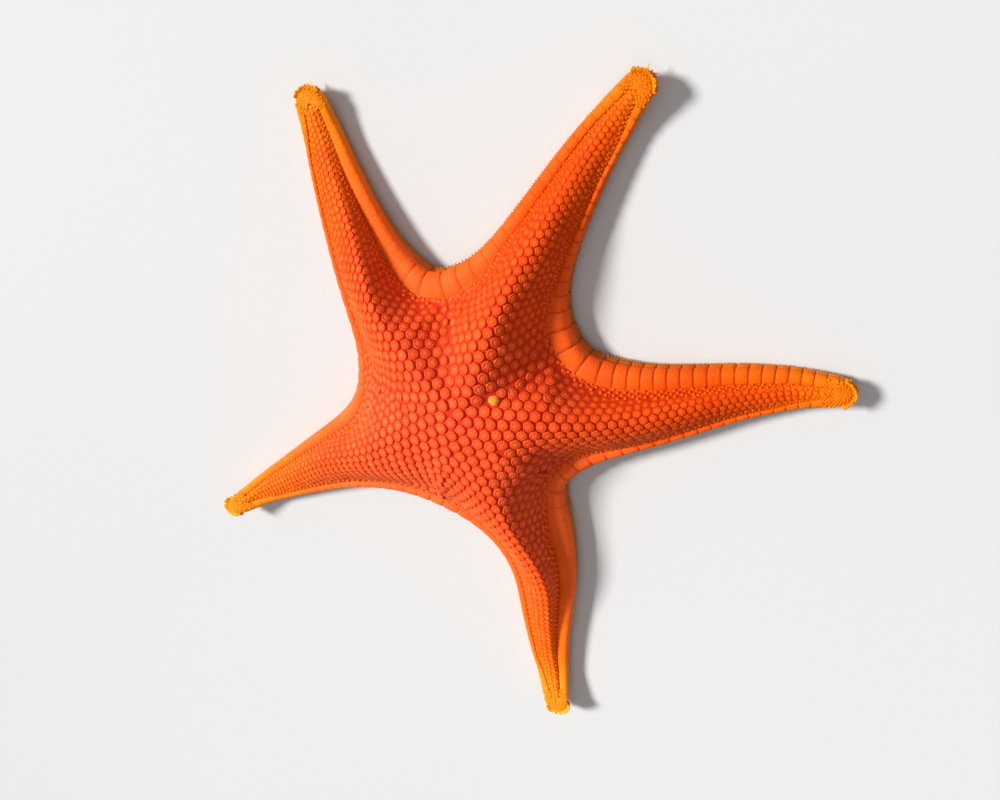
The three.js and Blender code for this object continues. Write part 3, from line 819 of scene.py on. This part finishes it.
def add_tabulae(into, field, arm, chosen, near, rng):
    """Adds tabulae of one arm that have the same number of granules."""
    n = len(chosen)
    count = int(crown_count(field.gap[chosen[0]]))
    sides = ANGLES_PER_GRANULE * count
    theta = 2 * math.pi * np.arange(sides) / sides
    frame = arm.frame_at(*field.xy[chosen].T)
    reach = reach_around(field, chosen, [turned(v, arm.azimuth) for v in frame], theta, near)
    tall = TABULA_HEIGHT * field.gap[chosen] * rng.uniform(*HEIGHT_SPREAD, n)
    out, h, crease = rosettes(count, n, rng)
    a, b = (np.append((reach[:, None, :] * out * turn).reshape(n, -1), np.zeros((n, 1)), 1)
            for turn in (np.cos(theta), np.sin(theta)))
    h = np.append(h.reshape(n, -1), np.ones((n, 1)), 1)
    centre, ahead, across, up = (v[:, None, :] for v in frame)
    root = centre - up * coat_depth(arm, centre[..., :1])
    points = root + a[..., None] * ahead + b[..., None] * across
    points = points + (h * tall[:, None])[..., None] * up
    roots = np.stack([field.xy[chosen, 0], arm.unrolled(*field.xy[chosen].T)], 1)
    # Height share of each point; the material paints the low sides darker with the gap colour, as
    # shade.
    level = np.append(np.repeat(np.clip(RINGS[:, 1], 0, 1), sides), 1)
    into.add(arm, roots, points, ring_triangles(len(RINGS), sides), np.stack([a, b], -1),
             tone=rng.uniform(0, 1, n)[:, None], top=level, crease=np.append(crease, 0))


def tabula_pieces(arms, rng):
    """One piece of tabulae for each arm, its share of the disc with it."""
    field = Field(arms, rng)
    _, distance, _ = field.pairs()
    near = np.argsort(distance, axis=1)[:, :NEIGHBOURS]
    pieces = []
    for arm in arms:
        gathered = Gatherer()
        mine = np.nonzero(field.arm == arm.cell)[0]
        mine = mine[mine > 0]
        counts = crown_count(field.gap[mine])
        for count in np.unique(counts):
            chosen = mine[counts == count]
            add_tabulae(gathered, field, arm, chosen, near[chosen], rng)
        pieces.append(gathered.make("tabulae_" + arm.name))
    return pieces


# ---- The sieve plate ----
SIEVE_RADIUS = 1.2
SIEVE_HEIGHT = 0.95
SIEVE_SIDES = 96
SIEVE_FURROWS = 13
SIEVE_RINGS = 16
SIEVE_FURROW_DEPTH = 0.13
SIEVE_WINDING = 2.2
SIEVE_DOME = (3.2, 0.6)  # powers of its cross section
SIEVE_ROOT = -0.4


def sieve_piece(arms, rng):
    """The sieve plate: a round cushion with winding furrows out from its middle."""
    arm = arms[0]
    x, y = sieve_place(arms)
    centre, ahead, across, up = arm.frame_at(np.array([x]), np.array([y]))
    theta = 2 * math.pi * np.arange(SIEVE_SIDES) / SIEVE_SIDES
    r = np.linspace(1, 0.05, SIEVE_RINGS)[:, None]
    wind = 0.5 * np.sin(5 * r + rng.uniform(0, 6)) + 0.3 * np.sin(3 * theta + rng.uniform(0, 6))
    furrow = 0.5 + 0.5 * np.cos(SIEVE_FURROWS * theta + SIEVE_WINDING * wind)
    h = SIEVE_HEIGHT * (1 - r**SIEVE_DOME[0]) ** SIEVE_DOME[1]
    h = h - SIEVE_FURROW_DEPTH * furrow * np.sqrt(r)
    h[0] = SIEVE_ROOT
    edge = SIEVE_RADIUS * (1 + 0.05 * np.cos(3 * theta + 1) - 0.04 * furrow * (r > 0.7))
    a = np.append((r * edge * np.cos(theta)).ravel(), 0)
    b = np.append((r * edge * np.sin(theta)).ravel(), 0)
    # Height share of each point: lower in the furrows, which the material paints darker as shade.
    top = np.append(np.broadcast_to(1 - 0.8 * furrow, (SIEVE_RINGS, SIEVE_SIDES)).ravel(), 0.6)
    h = np.append(h.ravel(), SIEVE_HEIGHT)
    root = centre - up * COAT_DEPTH_AT_CENTRE
    points = root + np.outer(a, ahead) + np.outer(b, across) + np.outer(h, up)
    into = Gatherer()
    roots = np.array([[x, float(arm.unrolled(np.array([x]), np.array([y]))[0])]])
    into.add(arm, roots, points[None], ring_triangles(SIEVE_RINGS, SIEVE_SIDES),
             np.stack([a, b], -1)[None], top=top)
    return into.make("sieve_plate")


# ---- Pegs: spines, granules, tube feet ----
PEG_SIDES = 7
PEG_RINGS = [(0.95, -0.25), (1.0, 0.1), (0.96, 0.55), (0.8, 0.86), (0.42, 0.98)]
NEARLY_UP = (0.02, 0.03, 1)  # never quite the direction of a peg


def ring_points(rings, sides):
    """Points of rings (radius, height) round a part's root, and a last one that closes them."""
    theta = 2 * math.pi * np.arange(sides) / sides
    radius, height = np.array(rings).T
    a, b = (np.append(np.outer(radius, turn), 0) for turn in (np.cos(theta), np.sin(theta)))
    return a, b, np.append(np.repeat(height, sides), 1)


def add_pegs(into, arm, base, direction, radius, length, flat=1.0):
    """Blunt pegs from their base points (n, 3) along directions (n, 3). flat: thickness over
    width."""
    n = len(base)
    direction = unit(direction)
    side = unit(np.cross(direction, NEARLY_UP))
    thick = np.cross(side, direction)
    a, b, h = ring_points(PEG_RINGS, PEG_SIDES)
    radius, length = (np.broadcast_to(v, n)[:, None, None] for v in (radius, length))
    points = base[:, None, :] + length * h[:, None] * direction[:, None, :]
    points = points + radius * a[:, None] * side[:, None, :]
    points = points + flat * radius * b[:, None] * thick[:, None, :]
    roots = np.stack([base[:, 0], arm.unrolled(base[:, 0], base[:, 1])], 1)
    local = np.broadcast_to(np.stack([a, b], -1), (n, len(a), 2))
    into.add(arm, roots, points, ring_triangles(len(PEG_RINGS), PEG_SIDES), local,
             top=np.clip(h, 0, 1))


def in_3d(plan, z):
    return np.concatenate([plan, np.broadcast_to(z, (len(plan), 1))], 1)


SPINELETS_PER_PLATE = 4
SPINELET_LENGTH = 0.5
SPINELET_RADIUS = 0.22
SPINELET_RISE = 0.27  # share of the plates' height at which they stand
SPINELET_ROOT = 0.25  # how far inside the outline they start
SPINELET_AT_TIP = 0.62  # their size there, as a share
SPINELET_SPREAD = (0.8, 1.15)
TIP_SPINES = 15  # on each side of a tip, in two rows
TIP_SPINE_LENGTH = 1.35
TIP_SPINE_RADIUS = 0.27
TIP_SPINE_FLATNESS = 0.8
TIP_SPINE_ROOT = 0.45
TIP_SPINE_JITTER = 0.12
TIP_SPINE_SPREAD = (0.75, 1.15)
TIP_SPINE_SHARE = 0.945  # of the band of plates, where they begin
# Of each row: its share of the plates' height, the rise of its spines, their size.
TIP_SPINE_ROWS = ((0.8, 0.9, 1.0), (0.55, 0.1, 0.85))


def add_spinelets(into, arm, side, rng):
    """The spinelets low on the edge of an arm."""
    n = SPINELETS_PER_PLATE * arm.plates
    share = even_shares(n)
    _, outer, normal, _ = side.band(share)
    normal = normal * [1, side.sign]
    outer = outer * [1, side.sign]
    low = SPINELET_RISE * side.frame_height(outer[:, :1])
    small = lerp(1, SPINELET_AT_TIP, share)
    base = in_3d(outer - SPINELET_ROOT * normal, low + rng.uniform(-0.15, 0.15, (n, 1)))
    turn = rng.uniform(-0.25, 0.25, n)
    way = in_3d(normal + np.stack([turn, 0 * turn], 1), rng.uniform(-0.5, -0.15, (n, 1)))
    add_pegs(into, arm, base, way, SPINELET_RADIUS * small,
             SPINELET_LENGTH * small * rng.uniform(*SPINELET_SPREAD, n))


def add_tip_spines(into, arm, side, rng):
    """The fringe of blunt spines round an arm's tip."""
    share = np.linspace(TIP_SPINE_SHARE, 1, TIP_SPINES)
    _, outer, normal, _ = side.band(share)
    normal = normal * [1, side.sign]
    outer = outer * [1, side.sign]
    for rise, up, size in TIP_SPINE_ROWS:
        z = rise * FRAME_HEIGHT_AT_TIP * np.ones((TIP_SPINES, 1))
        z = arm.rounded_end(outer[:, :1], z)
        jitter = rng.normal(0, TIP_SPINE_JITTER, (TIP_SPINES, 1))
        base = in_3d(outer - TIP_SPINE_ROOT * normal, z)
        way = in_3d(normal + jitter, up + jitter)
        add_pegs(into, arm, base, way, size * TIP_SPINE_RADIUS,
                 size * TIP_SPINE_LENGTH * rng.uniform(*TIP_SPINE_SPREAD, TIP_SPINES),
                 flat=TIP_SPINE_FLATNESS)


GOLDEN = 0.618034  # steps of this share of a width, over and over, cover it evenly
TIP_GRANULES = 64  # on each side of a tip
TIP_GRANULE_SHARE = 0.88  # of the band's length, where they start
TIP_GRANULE_ACROSS = (-0.45, 0.8)  # from the band's inner edge, as a share of its width
GRANULE_RADIUS = 0.4
GRANULE_HEIGHT = 0.34
GRANULE_JITTER = 0.05
GRANULE_SPREAD = (0.7, 1.05)
GRANULE_SINK = 0.12
TIP_LEVEL, TIP_DROP = 0.96, 0.12  # where they stand at the band's inner edge, and its fall from it
SEAM_GRANULES = 130  # along each side of an arm, where its back meets the plates
SEAM_INSET = (0.0, 0.95)
SEAM_SINK = 0.42
SEAM_LEAN = 0.3
SEAM_SPREAD = (0.75, 1.1)
SEAM_RADIUS = (0.42, 0.32)  # at the notch and at the tip


def add_tip_granules(into, arm, side, rng):
    """The granules scattered over the last plates, round the tip."""
    k = np.arange(TIP_GRANULES)
    share = TIP_GRANULE_SHARE + (1 - TIP_GRANULE_SHARE) * (k * GOLDEN % 1)
    across = lerp(*TIP_GRANULE_ACROSS, (k[:, None] + 0.5) / TIP_GRANULES)
    inner, outer, normal, _ = side.band(share)
    plan = lerp(inner, outer, across) + rng.normal(0, GRANULE_JITTER, inner.shape)
    plan = np.maximum(plan, [0, 0.05])
    z = side.frame_height(plan[:, :1]) * (TIP_LEVEL - TIP_DROP * np.maximum(across, 0)**3)
    plan = plan * [1, side.sign]
    z = arm.rounded_end(plan[:, :1], z)
    way = in_3d(normal * [1, side.sign] * np.maximum(across, 0), np.ones((TIP_GRANULES, 1)))
    radius = GRANULE_RADIUS * rng.uniform(*GRANULE_SPREAD, TIP_GRANULES)
    add_pegs(into, arm, in_3d(plan, z - GRANULE_SINK), way, radius, GRANULE_HEIGHT)


def add_seam_granules(into, arm, side, rng):
    """The small granules scattered between the back and the plates."""
    share = even_shares(SEAM_GRANULES)
    inset = lerp(*SEAM_INSET, np.arange(SEAM_GRANULES) * GOLDEN % 1)[:, None]
    inner, _, normal, _ = side.band(share)
    plan = inner - inset * normal + rng.normal(0, GRANULE_JITTER, inner.shape)
    plan = np.maximum(plan, [0, 0.1]) * [1, side.sign]
    z = arm.height(plan[:, 0], plan[:, 1])[:, None]
    small = lerp(*SEAM_RADIUS, share) * rng.uniform(*SEAM_SPREAD, SEAM_GRANULES)
    way = in_3d(SEAM_LEAN * normal * [1, side.sign], np.ones((SEAM_GRANULES, 1)))
    add_pegs(into, arm, in_3d(plan, z - SEAM_SINK), way, small, GRANULE_HEIGHT)


LIP_SPINE_STEP = 1.0
LIP_SPINE_LENGTH = 1.25
LIP_SPINE_RADIUS = 0.27
LIP_SPINE_AT_TIP = 0.55
LIP_SPINE_ROOT = 0.12  # above the skin of the belly
LIP_SPINE_FALL = -0.28
# Of each row: how far out from the lip it stands, which way it leans, where it starts.
LIP_SPINE_ROWS = ((0.15, -1, 0), (0.95, 0.35, 0.5))


def add_lip_spines(into, arm, side, rng):
    """Two rows of spines along a groove, leaning over it and away from it."""
    for out, lean, shift in LIP_SPINE_ROWS:
        x = np.arange(MOUTH_RADIUS + 3 + shift, arm.length - 3.5, LIP_SPINE_STEP)
        y = side.sign * (groove_half_width(arm, x) + GROOVE_LIP * 0.5 + out)
        x = x + rng.normal(0, 0.06, len(x))
        base = np.stack([x, y, np.full(len(x), BELLY_COAT + LIP_SPINE_ROOT)], 1)
        way = np.stack([rng.normal(0, 0.15, len(x)), side.sign * lean * np.ones(len(x)),
                        np.full(len(x), LIP_SPINE_FALL)], 1)
        small = lerp(1, LIP_SPINE_AT_TIP, x / arm.length)
        add_pegs(into, arm, base, way, LIP_SPINE_RADIUS * small, LIP_SPINE_LENGTH * small)


TUBE_FOOT_STEP = 1.7
TUBE_FOOT_RADIUS = 0.42
TUBE_FOOT_AT_TIP = 0.45
SHORTEST_FOOT = 0.5
FOOT_GAP = 0.45  # of a foot's end from the floor
FEELER_BACK, FEELER_OUT, FEELER_RISE = 1.2, 0.45, 1.1  # its root, from the arm's end
FEELER_WAY = (0.35, -0.12)  # out and up for each mm ahead
FEELER_RADIUS = 0.17
FEELER_LENGTH = (1.8, 2.6)


def add_tube_feet(into, arm, side, rng):
    """A row of tube feet in the groove, and the feelers at the arm's very tip."""
    x = np.arange(MOUTH_RADIUS + 3, arm.length - 4, TUBE_FOOT_STEP)
    y = side.sign * 0.5 * groove_half_width(arm, x)
    depth = np.maximum(groove_depth(arm, x), BELLY_COAT + SHORTEST_FOOT)
    base = np.stack([x, y, depth], 1)
    way = np.stack([rng.normal(0, 0.2, len(x)), side.sign * rng.uniform(0, 0.4, len(x)),
                    np.full(len(x), -1.0)], 1)
    small = lerp(1, TUBE_FOOT_AT_TIP, x / arm.length)
    add_pegs(into, arm, base, way, TUBE_FOOT_RADIUS * small, depth - FOOT_GAP)
    base = np.array([[arm.length - FEELER_BACK, side.sign * FEELER_OUT, FEELER_RISE]])
    out, up = FEELER_WAY
    add_pegs(into, arm, base, np.array([[1, side.sign * out, up]]), FEELER_RADIUS,
             rng.uniform(*FEELER_LENGTH))


BELLY_STEP = 1.45
BELLY_SIDES = 7
BELLY_ROWS = 24  # enough to fill the widest belly
FROM_MOUTH, FROM_LIP, FROM_END, FROM_EDGE = 2.5, 1.75, 2, 0.3  # bare margins round them
BELLY_SQUEEZE = 0.88  # of the rows, as a share of the step
EDGE_SHARE = 0.55  # of the plates' width that counts as belly
BELLY_JITTER = 0.07
BELLY_GRANULE_RADIUS = 0.44  # as a share of the step
BELLY_SPREAD = (0.85, 1.05)
BELLY_GRANULE_FALL = 0.96  # share of the belly's coat that they fill
BELLY_RINGS = [(1.0, -0.3), (0.94, 0.35), (0.62, 0.85)]


def belly_places(arm, side):
    """Places of the low granules underneath one side of an arm, in rows along it."""
    places = []
    for row in range(BELLY_ROWS):
        x = MOUTH_RADIUS + FROM_MOUTH + 0.5 * BELLY_STEP * (row % 2)
        x = np.arange(x, arm.length - FROM_END, BELLY_STEP)
        y = groove_half_width(arm, x) + GROOVE_LIP + FROM_LIP + BELLY_SQUEEZE * BELLY_STEP * row
        frame = np.interp(x, side.inner[:, 0], side.width, left=0)
        edge = side.inner_half_width(x) + EDGE_SHARE * frame
        keep = y < edge - FROM_EDGE
        places.append(np.stack([x[keep], y[keep]], 1))
    return np.concatenate(places)


def add_belly_granules(into, arm, side, rng):
    places = belly_places(arm, side) * [1, side.sign]
    places = places + rng.normal(0, BELLY_JITTER, places.shape)
    n = len(places)
    a, b, h = ring_points(BELLY_RINGS, BELLY_SIDES)
    b = -b  # they hang down
    size = BELLY_GRANULE_RADIUS * BELLY_STEP * rng.uniform(*BELLY_SPREAD, n)[:, None]
    points = np.stack([places[:, :1] + size * a, places[:, 1:] + size * b,
                       BELLY_COAT * (1 - BELLY_GRANULE_FALL * h) + 0 * size], -1)
    roots = np.stack([places[:, 0], side.sign * UNWRAP_BELLY + 0.5 * places[:, 1]], 1)
    local = np.broadcast_to(np.stack([a, b], -1), (n, len(a), 2))
    faces = ring_triangles(len(BELLY_RINGS), BELLY_SIDES)
    into.add(arm, roots, points, faces, local, top=np.clip(h, 0, 1))


# ---- Materials ----
# Colours along an arm, from the disc's centre (0) to the tip (1).
TOP_STOPS = [
    (0.0, (0.95, 0.128, 0.034)), (0.35, (0.94, 0.128, 0.020)), (0.62, (0.93, 0.130, 0.008)),
    (0.82, (0.94, 0.160, 0.004)), (0.95, (0.95, 0.26, 0.006)),
]
# The skin between the tabulae: its own deeper red, darkened further by painted shade as in a
# recess.
GAP_RED_AND_SHADE_STOPS = [
    (0.0, (0.64, 0.034, 0.014)), (0.5, (0.66, 0.040, 0.006)), (0.85, (0.80, 0.09, 0.003)),
    (0.97, (0.92, 0.20, 0.005)),
]
PLATE_STOPS = [
    (0.0, (0.94, 0.130, 0.028)), (0.4, (0.93, 0.130, 0.018)), (0.65, (0.93, 0.13, 0.008)),
    (0.82, (0.94, 0.17, 0.005)), (0.96, (0.95, 0.27, 0.006)),
]
LOW_STOPS = [(0.0, (0.46, 0.13, 0.010)), (0.6, (0.62, 0.18, 0.006)), (0.95, (0.90, 0.29, 0.006))]
DARK, LIGHT = (0.88, 0.8, 0.78), (1.04, 1.08, 1.1)  # ends of the mottling of a colour
PEG_DARK, PEG_LIGHT = (0.85, 0.76, 0.72), (1.06, 1.08, 1.1)
# Painted shade at the root of each spine, granule and tube foot, where it meets the skin.
PEG_ROOT_SHADE = (0.75, 0.4, 0.3)
CREASE_SHADE_STOPS = [(0.1, (0, 0, 0)), (1.0, (0.75, 0.75, 0.75))]
JOINT_STOPS = [(0.0, (0, 0, 0)), (1.0, (0.5, 0.5, 0.5))]
JOINT_COLOUR = (0.42, 0.03, 0.006)
BELLY_COLOUR = (0.82, 0.40, 0.16)
SPINE_STOPS = [(0.0, (0.72, 0.20, 0.02)), (0.7, (0.88, 0.24, 0.008)), (0.95, (0.96, 0.36, 0.012))]
FOOT_STOPS = [(0.0, (0.90, 0.62, 0.30)), (0.9, (0.96, 0.72, 0.34))]
# The sieve plate's colour, and the darker, deeper orange painted as shade in its furrows.
SIEVE_FURROW_SHADE, SIEVE_HIGH = (1.0, 0.26, 0.02), (1.0, 0.42, 0.05)
# Painted light and shade across the animal: it is painted darker and a deeper red the further it
# lies this way, on its shaded side, and lighter and pinker the other way, on its lit side.
PAINTED_LIGHT_WAY = [0.85, 0.53, 0]
PAINTED_LIGHT_REACH = 48
PAINTED_LIGHT_STOPS = [(0.0, (1.05, 1.22, 2.0)), (0.5, (1.0, 1.0, 1.0)), (1.0, (0.84, 0.66, 0.15))]


class Paint:
    """A material being made: its nodes, its links and its shader."""

    def __init__(self, name, roughness):
        self.material = bpy.data.materials.new(name)
        self.material.use_nodes = True
        self.nodes, self.links = self.material.node_tree.nodes, self.material.node_tree.links
        self.shader = self.nodes["Principled BSDF"]
        self.shader.inputs["Roughness"].default_value = roughness

    def wire(self, value, socket):
        if isinstance(value, bpy.types.NodeSocket):
            self.links.new(value, socket)
        elif isinstance(value, tuple):
            socket.default_value = (*value, 1)
        else:
            socket.default_value = value

    def node(self, kind, inputs=(), **settings):
        """A new node with its settings, its inputs wired or set."""
        made = self.nodes.new("ShaderNode" + kind)
        for key, value in settings.items():
            setattr(made, key, value)
        for key, value in dict(inputs).items():
            self.wire(value, made.inputs[key])
        return made

    def value(self, key):
        return self.node("Attribute", attribute_name=key).outputs["Fac"]

    def ramp(self, source, stops):
        """A colour ramp over `source`, from (place, colour) stops."""
        node = self.node("ValToRGB", {"Fac": source})
        for place, _ in stops[2:]:
            node.color_ramp.elements.new(place)
        for element, (place, colour) in zip(node.color_ramp.elements, stops):
            element.position = place
            element.color = (*colour, 1)
        return node.outputs["Color"]

    def along(self, stops):
        return self.ramp(self.value("along"), stops)

    def step(self, source, low, high):
        """0 where source is below low, 1 where it is above high."""
        return self.ramp(source, [(low, (0, 0, 0)), (high, (1, 1, 1))])

    def mix(self, factor, a, b, kind="MIX"):
        return self.node("Mix", data_type="RGBA", blend_type=kind,
                         inputs={"Factor": factor, "A": a, "B": b}).outputs["Result"]

    def where(self):
        return self.node("TexCoord").outputs["Object"]

    def noise(self, scale, detail=3.0):
        """Noise of the given scale per metre."""
        return self.node("TexNoise", {"Scale": scale, "Detail": detail,
                                      "Vector": self.where()}).outputs["Fac"]

    def cells(self, scale):
        node = self.node("TexVoronoi", {"Scale": scale, "Vector": self.where()})
        return node.outputs["Distance"]

    def cast(self, colour):
        """Paints light and shade onto a colour by its place across the animal: lighter and pinker
        on the lit side, darker and deeper red on the shaded side.
        """
        across = self.node("VectorMath", {0: self.where(), 1: PAINTED_LIGHT_WAY}, operation="DOT_PRODUCT")
        place = self.node("MapRange", {"From Min": -PAINTED_LIGHT_REACH * MM, "From Max": PAINTED_LIGHT_REACH * MM,
                                       "Value": across.outputs["Value"]})
        return self.mix(1.0, colour, self.ramp(place.outputs["Result"], PAINTED_LIGHT_STOPS), "MULTIPLY")

    def vary(self, colour, source, dark, light):
        return self.mix(1.0, colour, self.ramp(source, [(0.3, dark), (0.7, light)]), "MULTIPLY")

    def bump(self, height, distance):
        """Relief of the given height, over a distance in mm."""
        node = self.node("Bump", {"Distance": distance * MM, "Strength": 1.0, "Height": height})
        self.wire(node.outputs["Normal"], self.shader.inputs["Normal"])

    def grain(self, scale, distance):
        self.bump(self.noise(scale, 2), distance)

    def flesh(self, share, depth):
        """Light that enters the surface and leaves it again nearby, depth in mm."""
        look = {"Subsurface Weight": share, "Subsurface Radius": [1.0, 0.35, 0.12],
                "Subsurface Scale": depth * MM, "Specular IOR Level": 0.07}
        for key, value in look.items():
            self.wire(value, self.shader.inputs[key])

    def done(self, colour):
        self.wire(colour, self.shader.inputs["Base Color"])
        return self.material


def tabula_material():
    paint = Paint("tabula", 0.5)
    # Painted shade: the low sides of each tabula, down in the gaps, take the darker gap colour.
    colour = paint.mix(paint.step(paint.value("top"), 0.15, 0.7), paint.along(GAP_RED_AND_SHADE_STOPS),
                       paint.along(TOP_STOPS))
    # Painted shade: the cuts between the crown's granules and the groove inside it take the darker
    # gap colour.
    colour = paint.mix(paint.ramp(paint.value("crease"), CREASE_SHADE_STOPS), colour,
                       paint.along(GAP_RED_AND_SHADE_STOPS))
    colour = paint.vary(colour, paint.value("tone"), (0.96, 0.9, 0.9), (1.03, 1.08, 1.1))
    colour = paint.vary(colour, paint.noise(90), DARK, LIGHT)
    paint.grain(5200, 0.03)
    paint.flesh(0.12, 1.2)
    # Painted light and shade across the animal: lit side lighter and pinker, shaded side darker.
    return paint.done(paint.cast(colour))


def skin_material():
    paint = Paint("skin", 0.5)
    plate = paint.mix(paint.step(paint.value("rise"), 0.38, 0.68), paint.along(LOW_STOPS),
                      paint.along(PLATE_STOPS))
    plate = paint.mix(paint.ramp(paint.value("joint"), JOINT_STOPS), plate, JOINT_COLOUR)
    # The back between the tabulae takes the gap colour: its own deeper red with painted shade.
    colour = paint.mix(paint.value("plate"), paint.along(GAP_RED_AND_SHADE_STOPS), plate)
    colour = paint.mix(paint.step(paint.value("rise"), 0.0, 0.06), BELLY_COLOUR, colour)
    colour = paint.vary(colour, paint.noise(110), (0.88, 0.82, 0.8), (1.04, 1.08, 1.1))
    paint.bump(paint.cells(2600), -0.1)
    paint.flesh(0.12, 1.2)
    # Painted light and shade across the animal: lit side lighter and pinker, shaded side darker.
    return paint.done(paint.cast(colour))


def belly_material():
    paint = Paint("belly_granule", 0.5)
    # Painted shade: each belly granule is darker low down, where it meets the skin.
    colour = paint.mix(paint.step(paint.value("top"), 0.0, 0.8), (0.62, 0.2, 0.07), BELLY_COLOUR)
    colour = paint.vary(colour, paint.noise(220), (0.85, 0.78, 0.75), (1.06, 1.08, 1.1))
    paint.grain(5000, 0.02)
    paint.flesh(0.1, 1.0)
    return paint.done(colour)


def peg_material(name, stops, share, depth):
    paint = Paint(name, 0.42)
    colour = paint.vary(paint.along(stops), paint.noise(600), PEG_DARK, PEG_LIGHT)
    # Painted shade: each peg is darker low down, at its root.
    colour = paint.mix(paint.step(paint.value("top"), 0.0, 0.5),
                       paint.mix(1.0, colour, PEG_ROOT_SHADE, "MULTIPLY"), colour)
    paint.grain(4000, 0.02)
    paint.flesh(share, depth)
    # Painted light and shade across the animal: lit side lighter and pinker, shaded side darker.
    return paint.done(paint.cast(colour))


def sieve_material():
    paint = Paint("sieve_plate", 0.45)
    # Painted shade: the furrows take the darker, deeper orange colour.
    colour = paint.mix(paint.step(paint.value("top"), 0.2, 0.8), SIEVE_FURROW_SHADE, SIEVE_HIGH)
    colour = paint.vary(colour, paint.noise(900), (0.85, 0.8, 0.8), (1.05, 1.05, 1.1))
    paint.grain(6000, 0.02)
    paint.flesh(0.15, 1.0)
    return paint.done(colour)


# ---- Stage, light and camera ----
CAMERA_PLACE = (75.59, 84.45, 186.2)  # from the disc's centre on the floor
CAMERA_TILT = 31.72  # from straight down
CAMERA_TILT_AZIMUTH = 50.28
LENS = 34.2
SENSOR = 36.0
FLOOR_SIZE = 60  # m
FLOOR_STOPS = [(0.3, (0.54, 0.545, 0.55)), (0.7, (0.57, 0.575, 0.58))]
WORLD_STRENGTH = 0.26
KEY_PLACE, KEY_ENERGY, KEY_ANGLE = (-0.50, 0.22, 0.54), 5.0, 14  # in m and degrees
KEY_COLOUR = (1, 0.98, 0.95)
FILL_PLACE, FILL_ENERGY, FILL_SIZE = (0.2, 0.2, 1.2), 3.0, 1.0


def camera():
    azimuth = math.radians(CAMERA_TILT_AZIMUTH)
    turn = Matrix.Rotation(math.radians(CAMERA_TILT), 4,
                           Vector((-math.sin(azimuth), math.cos(azimuth), 0)))
    data = bpy.data.cameras.new("camera")
    data.lens = LENS
    data.sensor_width = SENSOR
    data.clip_start = 0.01
    eye = bpy.data.objects.new("camera", data)
    place = Vector(CAMERA_PLACE) + Vector((*DISC_CENTRE, 0))
    eye.matrix_world = Matrix.Translation(place * MM) @ turn
    bpy.context.scene.collection.objects.link(eye)
    bpy.context.scene.camera = eye


def lamp(name, kind, place, colour, **settings):
    """A lamp at a place in metres that shines on the middle of the floor."""
    data = bpy.data.lights.new(name, kind)
    data.color = colour
    for key, value in settings.items():
        setattr(data, key, value)
    made = bpy.data.objects.new(name, data)
    made.location = place
    made.rotation_euler = (-Vector(place)).to_track_quat("-Z", "Y").to_euler()
    bpy.context.scene.collection.objects.link(made)


def stage():
    bpy.ops.mesh.primitive_plane_add(size=FLOOR_SIZE)
    floor = bpy.context.active_object
    floor.name = "floor"
    paint = Paint("floor", 0.8)
    floor.data.materials.append(paint.done(paint.ramp(paint.noise(3), FLOOR_STOPS)))
    world = bpy.data.worlds.new("studio")
    world.use_nodes = True
    background = world.node_tree.nodes["Background"]
    background.inputs["Color"].default_value = (1, 1, 1, 1)
    background.inputs["Strength"].default_value = WORLD_STRENGTH
    scene = bpy.context.scene
    scene.world = world
    scene.view_settings.view_transform = "Standard"
    lamp("key", "SUN", KEY_PLACE, KEY_COLOUR, energy=KEY_ENERGY, angle=math.radians(KEY_ANGLE))
    lamp("fill", "AREA", FILL_PLACE, (1, 1, 1), energy=FILL_ENERGY, size=FILL_SIZE)


def dress(piece, material):
    piece.data.materials.append(material)
    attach(piece, "root")


def dress_small_pieces(arms, rng):
    """Makes and dresses the spines, tube feet and granules, one piece of each kind."""
    kinds = (
        ("edge_spinelets", [add_spinelets, add_tip_spines], "tip_skin",
         peg_material("spine", SPINE_STOPS, 0.2, 1.0)),
        ("granules", [add_tip_granules, add_seam_granules], "tip_skin",
         peg_material("granule", TOP_STOPS, 0.12, 1.2)),
        ("groove_spines", [add_lip_spines], "arm_skin",
         peg_material("groove_spine", SPINE_STOPS, 0.2, 1.0)),
        ("tube_feet", [add_tube_feet], "arm_skin", peg_material("tube_foot", FOOT_STOPS, 0.5, 2.0)),
        ("belly_granules", [add_belly_granules], "arm_skin", belly_material()),
    )
    for name, makers, slot, material in kinds:
        into = Gatherer()
        for arm in arms:
            for side in arm.sides:
                for maker in makers:
                    maker(into, arm, side, rng)
        dress(into.make(name), material)


def main():
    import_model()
    rng = np.random.default_rng(SEED)
    arms = build_arms()

    skin = skin_piece(arms)
    dress(skin, skin_material())
    names = [arm.name for arm in arms]
    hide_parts("disc", *("arm_" + n for n in names), *("tip_" + n for n in names))

    sieve = sieve_piece(arms, rng)
    dress(sieve, sieve_material())
    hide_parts("madreporite")

    coat = tabula_material()
    for piece in tabula_pieces(arms, rng):
        dress(piece, coat)

    dress_small_pieces(arms, rng)
    stage()
    camera()


main()
